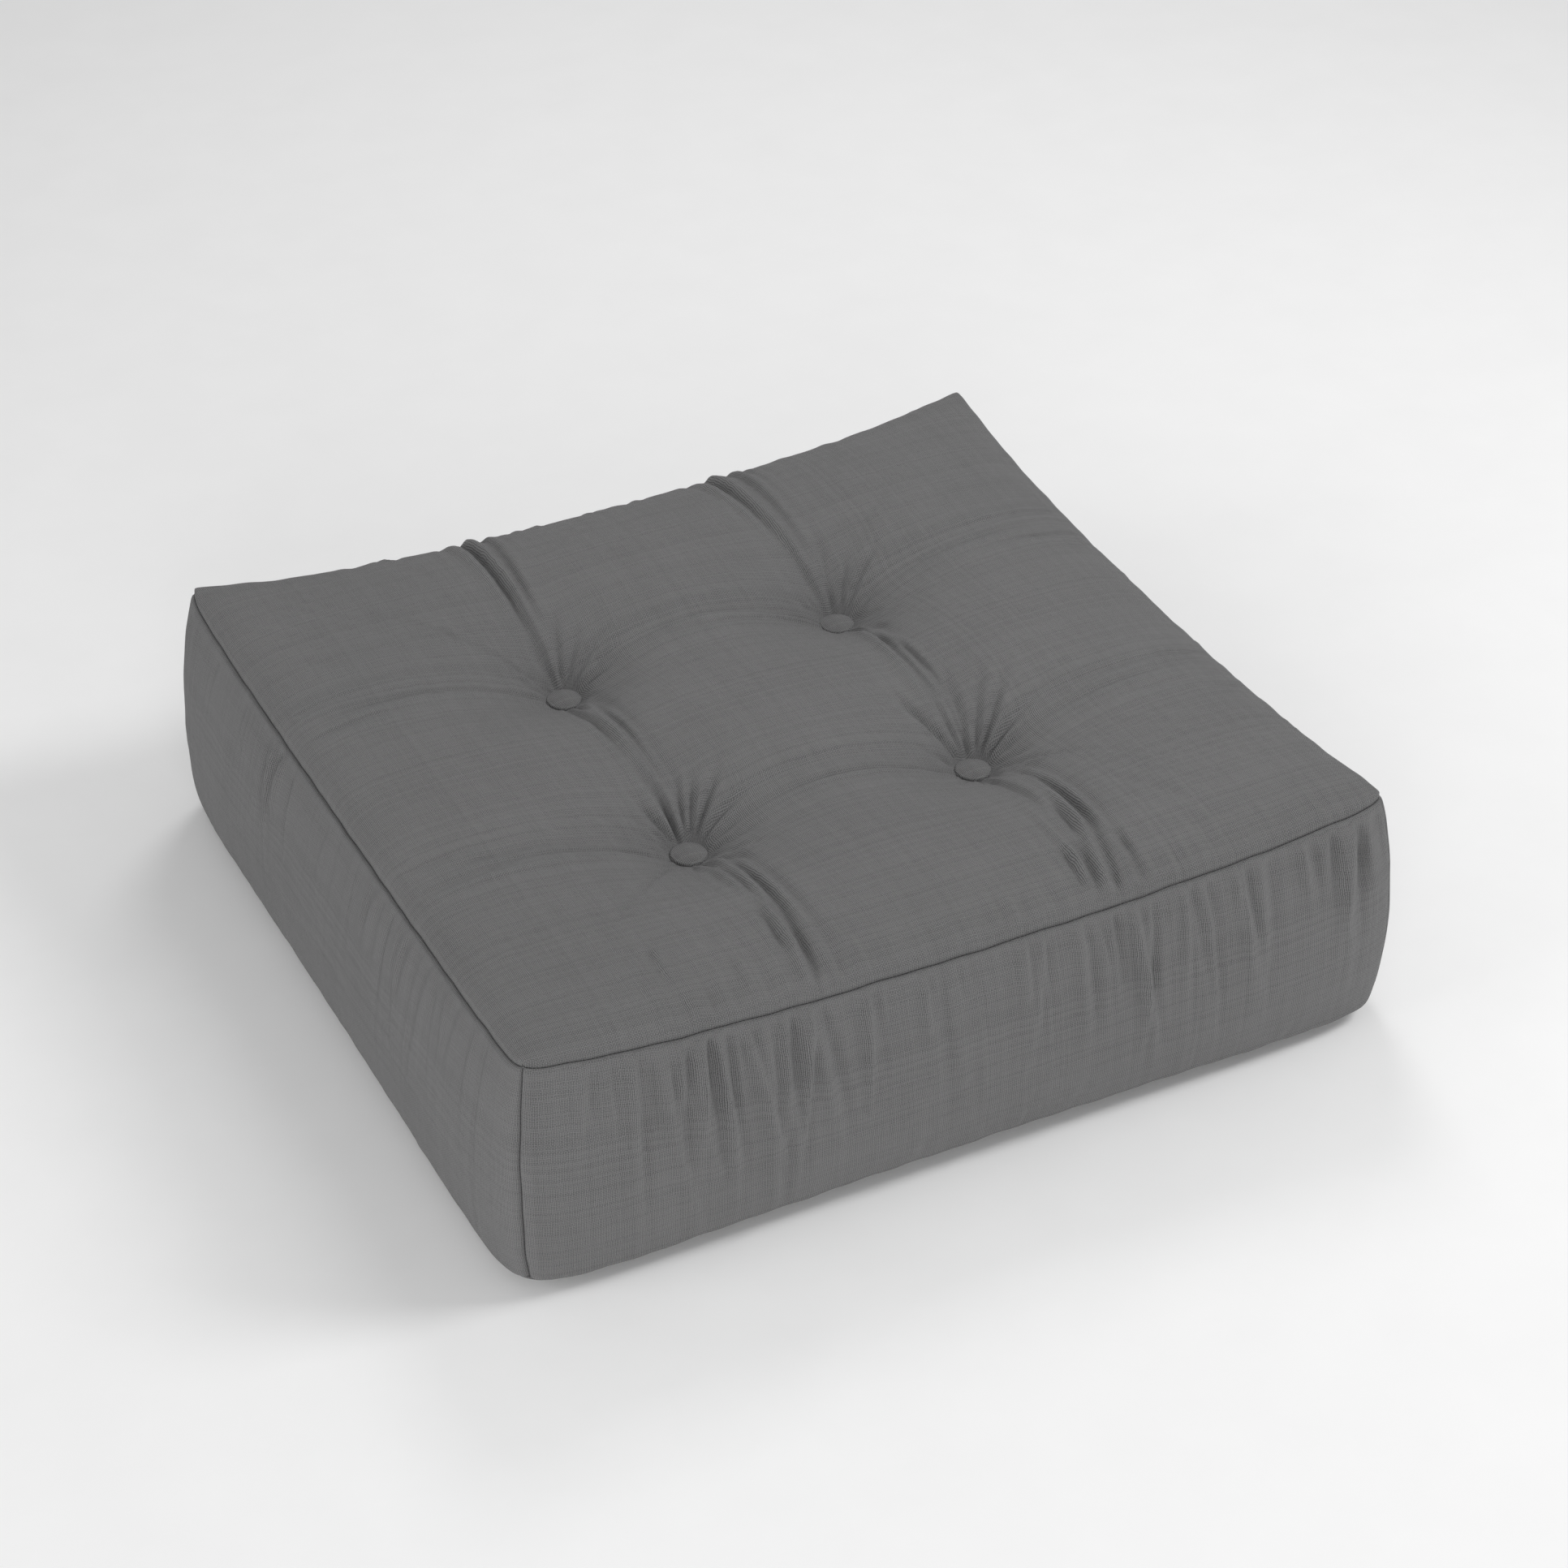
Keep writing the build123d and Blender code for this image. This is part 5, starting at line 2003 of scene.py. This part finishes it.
@dataclass
class Buttons:
    """The eight covered buttons and the twines that tie them."""

    wardrobe: Wardrobe
    cloth_t: float = 0.0009
    rim_h: float = 0.0030
    shoulder: float = 0.0020
    mouth_r: float = 0.0119
    lip: float = 0.0006
    gathers: int = 26
    gather_h: float = 0.00016
    gather_cap: float = 0.00012
    outside_points: int = 26
    sides: int = 96

    def profile(self, radius: float, height: float) -> np.ndarray:
        """The covered button's section, from its crown round its rim to its inside.

        Args:
            radius: Its radius.
            height: Its height.

        Returns:
            Pairs of radius and height.
        """
        crown_r = radius - self.shoulder
        share = np.linspace(0, 1, 15)
        fall = height - self.rim_h - 0.4 * self.shoulder
        crown = np.stack([share * crown_r, height - fall * share**2 * 0.75], -1)
        turn = np.linspace(0.18, 1, 7) * math.pi / 2
        top = crown[-1, 1] - self.shoulder * 0.95
        rim = np.stack([crown_r + self.shoulder * np.sin(turn), top + self.shoulder * np.cos(turn)], -1)
        skirt = np.array(
            [[radius, 0.6 * top], [radius - 0.0001, 0.0008], [radius - 0.0006, 0.0001], [self.mouth_r, 0.0]]
        )
        inner_r = radius - self.cloth_t
        inside = [[self.mouth_r, self.lip], [inner_r - 0.0006, self.lip + 0.0001]]
        inside += [[inner_r, 0.0012], [inner_r, 0.75 * top]]
        back = crown[::-1].copy()
        back[:, 0] *= (inner_r - 0.001) / crown_r
        back[:, 1] -= self.cloth_t
        return np.concatenate([crown, rim, skirt, np.array(inside), back[1:]])

    def build(self) -> None:
        """Cover each button, and dress the metal and the twine that the CAD made."""
        for row in ("top", "bottom"):
            for number in range(1, 5):
                self._cover(row, number)
                for part in ("shell", "back"):
                    self.wardrobe.dress(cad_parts[f"{row}_button_{part}_{number}"], "button_metal")
        for number in range(1, 5):
            self.wardrobe.dress(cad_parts[f"tufting_twine_{number}"], "tufting_twine")

    def _cover(self, row: str, number: int) -> None:
        """Make one button's cloth, drawn tight over the dome and gathered under its rim.

        Args:
            row: top or bottom.
            number: Which button of that row.
        """
        node = f"{row}_button_cloth_{number}"
        low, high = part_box(node)
        centre = (low + high) / 2
        radius, height = (high.x - low.x) / 2, high.z - low.z
        section = self.profile(radius, height)
        turn = np.linspace(0, 2 * np.pi, self.sides, endpoint=False) + 0.3 * number
        r, h = section[:, :1], section[:, 1:]
        near_rim = np.exp(-(((h - 0.0012) / 0.0014) ** 2)) * (r > 0.6 * radius)
        swell = self.gather_h * np.cos(self.gathers * turn + 0.8 * np.sin(3 * turn)) * near_rim
        outside = np.arange(len(section))[:, None] < self.outside_points
        wide = r + np.minimum(swell, self.gather_cap) * outside
        up = 1 if row == "top" else -1
        base = low.z if up > 0 else high.z
        stretch = np.stack([wide * np.cos(turn), wide * np.sin(turn)], -1)
        level = base + up * (h + 0 * turn)
        points = np.stack([centre.x + stretch[..., 0], centre.y + stretch[..., 1], level], -1)
        quads = grid_quads(len(section), self.sides, up < 0, closed=True)
        piece = make_piece(f"{row}_button_cover_{number}", points, quads, stretch)
        weld = piece.modifiers.new("Crown points", "WELD")
        weld.merge_threshold = 0.00001
        self.wardrobe.dress(piece, "button_cloth")
        settle(piece, CUSHION, "button_cloth", node)
        LOG.info("%s: radius %.1f mm", piece.name, radius / MM)


# Zip


@dataclass
class Zip:
    """The zip in the back border: tapes, coils, stops, slider, pull and the stitching beside it."""

    form: StuffedForm
    wardrobe: Wardrobe
    wire_r: float = 0.00024
    pitch: float = 0.0015
    loop_points: int = 10
    cord_r: float = 0.00035
    stitch: float = 0.0030
    stitch_gap: float = 0.0009
    stitch_r: float = 0.00028
    stitch_in: float = 0.0125
    stitch_past: float = 0.002
    bevel: float = 0.00018
    tape_stations: int = 190

    def build(self) -> None:
        """Make the tapes, coils and stitching, and dress what the CAD made."""
        for side in ("upper", "lower"):
            self._tape(side)
            self._coil(side)
        self._topstitching()
        for node in ("zip_top_stops", "zip_bottom_stop", "zip_slider", "zip_pull"):
            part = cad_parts[node]
            self.wardrobe.dress(part, "zip_metal")
            edges = part.modifiers.new("Softened edges", "BEVEL")
            edges.width = self.bevel
            edges.segments = 2
            edges.limit_method = "ANGLE"
            edges.angle_limit = math.radians(40)
            LOG.info("%s: dressed", node)

    def _tape(self, side: str) -> None:
        """Make one tape: thin, with a raised edge by the coil and a rounded far edge.

        Args:
            side: upper or lower.
        """
        node = f"zip_tape_{side}"
        low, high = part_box(node)
        up = 1 if side == "upper" else -1
        near, far = (low.z, high.z) if up > 0 else (high.z, low.z)
        half = (high.y - low.y) / 2
        middle = (high.y + low.y) / 2
        outline = ((0.0, 0.6), (0.03, 1.0), (0.12, 1.0), (0.16, 0.8), (0.6, 0.8), (0.97, 0.8), (1.0, 0.4))
        section = [(middle + half * lift, near + (far - near) * share) for share, lift in outline]
        section += [(middle - half * 0.9, z) for _, z in reversed(section)]
        places = np.linspace(low.x, high.x, self.tape_stations)
        points = np.array([[(x, y, z) for y, z in section] for x in places])
        rows, count = len(places), len(section)
        quads = grid_quads(rows, count, up > 0, closed=True)
        first, last = tuple(range(count)), tuple(range((rows - 1) * count, rows * count))
        quads += [first, last[::-1]] if up < 0 else [first[::-1], last]
        piece = make_piece(f"zip_tape_woven_{side}", points, quads)
        self.wardrobe.dress(piece, "zip_tape")
        settle(piece, CUSHION, "zip_tape", node)
        LOG.info("%s: %.0f mm long", piece.name, (high.x - low.x) / MM)

    def _coil(self, side: str) -> None:
        """Wind one coil round its cord.

        Args:
            side: upper or lower.
        """
        node = f"zip_coil_{side}"
        low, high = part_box(node)
        centre_y, centre_z = (low.y + high.y) / 2, (low.z + high.z) / 2
        reach_y, reach_z = (high.y - low.y) / 2 - self.wire_r, (high.z - low.z) / 2 - self.wire_r
        turns = int((high.x - low.x - 2 * self.wire_r) / self.pitch)
        turn = np.arange(turns * self.loop_points + 1) * 2 * np.pi / self.loop_points
        shift = self.pitch / 2 if side == "lower" else 0.0
        x = low.x + self.wire_r + turn / (2 * np.pi) * self.pitch + 0.25 * self.pitch * np.sin(turn)
        x = np.clip(x + shift, low.x + self.wire_r, high.x - self.wire_r)
        path = np.stack([x, centre_y + reach_y * np.sin(turn), centre_z + reach_z * np.cos(turn)], -1)
        cord = np.stack([np.linspace(low.x, high.x, 60), np.full(60, centre_y), np.full(60, centre_z)], -1)
        parts = [tube(path, np.full(len(path), self.wire_r), 5), tube(cord, np.full(60, self.cord_r), 8)]
        points, faces = joined(parts)
        piece = make_piece(f"zip_coil_wound_{side}", points, faces)
        self.wardrobe.dress(piece, "zip_coil")
        settle(piece, CUSHION, "zip_coil", node)
        LOG.info("%s: %d turns", piece.name, turns)

    def _topstitching(self) -> None:
        """Sew a row of stitches above and below the zip, and across its ends."""
        y = self.form.crest + 0.6 * self.stitch_r
        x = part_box("zip_tape_upper")[1].x + self.stitch_past
        low, high = self.form.middle - self.stitch_in, self.form.middle + self.stitch_in
        corners = [(-x, low), (x, low), (x, high), (-x, high)]
        parts = []
        for (ax, az), (bx, bz) in zip(corners, corners[1:] + corners[:1]):
            length = math.hypot(bx - ax, bz - az)
            count = int(length / (self.stitch + self.stitch_gap))
            for k in range(count):
                start = (k + 0.5) / count - self.stitch / 2 / length
                share = start + np.linspace(0, 1, 6) * self.stitch / length
                bow = np.sin(np.linspace(0, np.pi, 6))
                sink = y - self.stitch_r * 1.2 * (1 - bow)
                path = np.stack([ax + (bx - ax) * share, sink, az + (bz - az) * share], -1)
                parts.append(tube(path, self.stitch_r * (0.6 + 0.4 * bow), 6))
        points, faces = joined(parts)
        piece = make_piece("zip_topstitching", points, faces)
        self.wardrobe.dress(piece, "sewing_thread")
        settle(piece, CUSHION, "sewing_thread")
        LOG.info("zip_topstitching: %d stitches", len(parts))


# Studio


@dataclass(frozen=True)
class Lamp:
    """One soft box, placed round the cushion."""

    name: str
    azimuth: float
    elevation: float
    distance: float
    size: float
    watts: float

    def build(self, target: Vector) -> None:
        """Hang the lamp.

        Args:
            target: Where it points.
        """
        a, e = math.radians(self.azimuth), math.radians(self.elevation)
        way = Vector((math.sin(a) * math.cos(e), -math.cos(a) * math.cos(e), math.sin(e)))
        light = bpy.data.lights.new(self.name, "AREA")
        light.shape = "DISK"
        light.size = self.size
        light.energy = self.watts
        lamp = bpy.data.objects.new(self.name, light)
        lamp.location = target + way * self.distance
        lamp.rotation_euler = (-way).to_track_quat("-Z", "Y").to_euler()
        bpy.context.scene.collection.objects.link(lamp)


@dataclass
class Studio:
    """The floor, the lights and the camera."""

    form: StuffedForm
    wardrobe: Wardrobe
    azimuth: float = -26.664
    elevation: float = 35.734
    away: float = 4.462
    aside: float = 0.0199
    raised: float = 0.118
    lens: float = 90.43
    sensor: float = 36.0
    floor_half: float = 9.0
    floor_points: int = 13
    sky: float = 0.40

    def build(self) -> None:
        """Set up the studio."""
        self._floor()
        target = Vector((0, 0, self.form.middle))
        for lamp in (
            Lamp("Key softbox", 62.0, 44.0, 2.6, 0.9, 24.0),
            Lamp("Back softbox", 150.0, 50.0, 2.8, 0.9, 15.0),
            Lamp("Front fill", -24.0, 18.0, 3.2, 1.6, 30.0),
            Lamp("Left fill", -88.0, 20.0, 3.0, 1.8, 20.0),
        ):
            lamp.build(target)
        world = bpy.data.worlds.new("Studio")
        world.use_nodes = True
        background = world.node_tree.nodes["Background"]
        background.inputs["Color"].default_value = (1.0, 1.0, 1.0, 1.0)
        background.inputs["Strength"].default_value = self.sky
        bpy.context.scene.world = world
        bpy.context.scene.view_settings.view_transform = "Standard"
        self._camera()

    def _floor(self) -> None:
        """Lay a pale sweep under the cushion."""
        half = self.floor_half
        places = np.linspace(-half, half, self.floor_points)
        x, y = np.meshgrid(places, places, indexing="ij")
        quads = grid_quads(self.floor_points, self.floor_points, False)
        floor = make_piece("floor", np.stack([x, y, np.zeros_like(x)], -1), quads)
        self.wardrobe.dress(floor, "floor")

    def _camera(self) -> None:
        """Aim the camera, with its place in cushion widths from the bottom seam's middle."""
        a, e = math.radians(self.azimuth), math.radians(self.elevation)
        back = Vector((math.sin(a) * math.cos(e), -math.cos(a) * math.cos(e), math.sin(e)))
        right = Vector((math.cos(a), math.sin(a), 0))
        up = back.cross(right)
        width = self.form.width
        place = (back * self.away + right * self.aside + up * self.raised) * width
        place.z += self.form.bottom_edge
        data = bpy.data.cameras.new("camera")
        data.lens = self.lens
        data.sensor_width = self.sensor
        camera = bpy.data.objects.new("camera", data)
        camera.matrix_world = Matrix(
            (
                (right.x, up.x, back.x, place.x),
                (right.y, up.y, back.y, place.y),
                (right.z, up.z, back.z, place.z),
                (0, 0, 0, 1),
            )
        )
        bpy.context.scene.collection.objects.link(camera)
        bpy.context.scene.camera = camera


def main() -> None:
    """Build the cushion and its studio."""
    logging.basicConfig(level=logging.INFO, format="%(name)s: %(message)s")
    wardrobe = Wardrobe()
    form = StuffedForm.from_frame()
    LOG.info("form: %.1f by %.1f mm", form.width / MM, form.depth / MM)
    cover = Cover(form, wardrobe)
    cover.simulate()
    cover.build()
    Filling(cover, wardrobe).build()
    Buttons(wardrobe).build()
    Zip(form, wardrobe).build()
    Studio(form, wardrobe).build()


if __name__ == "__main__":
    main()
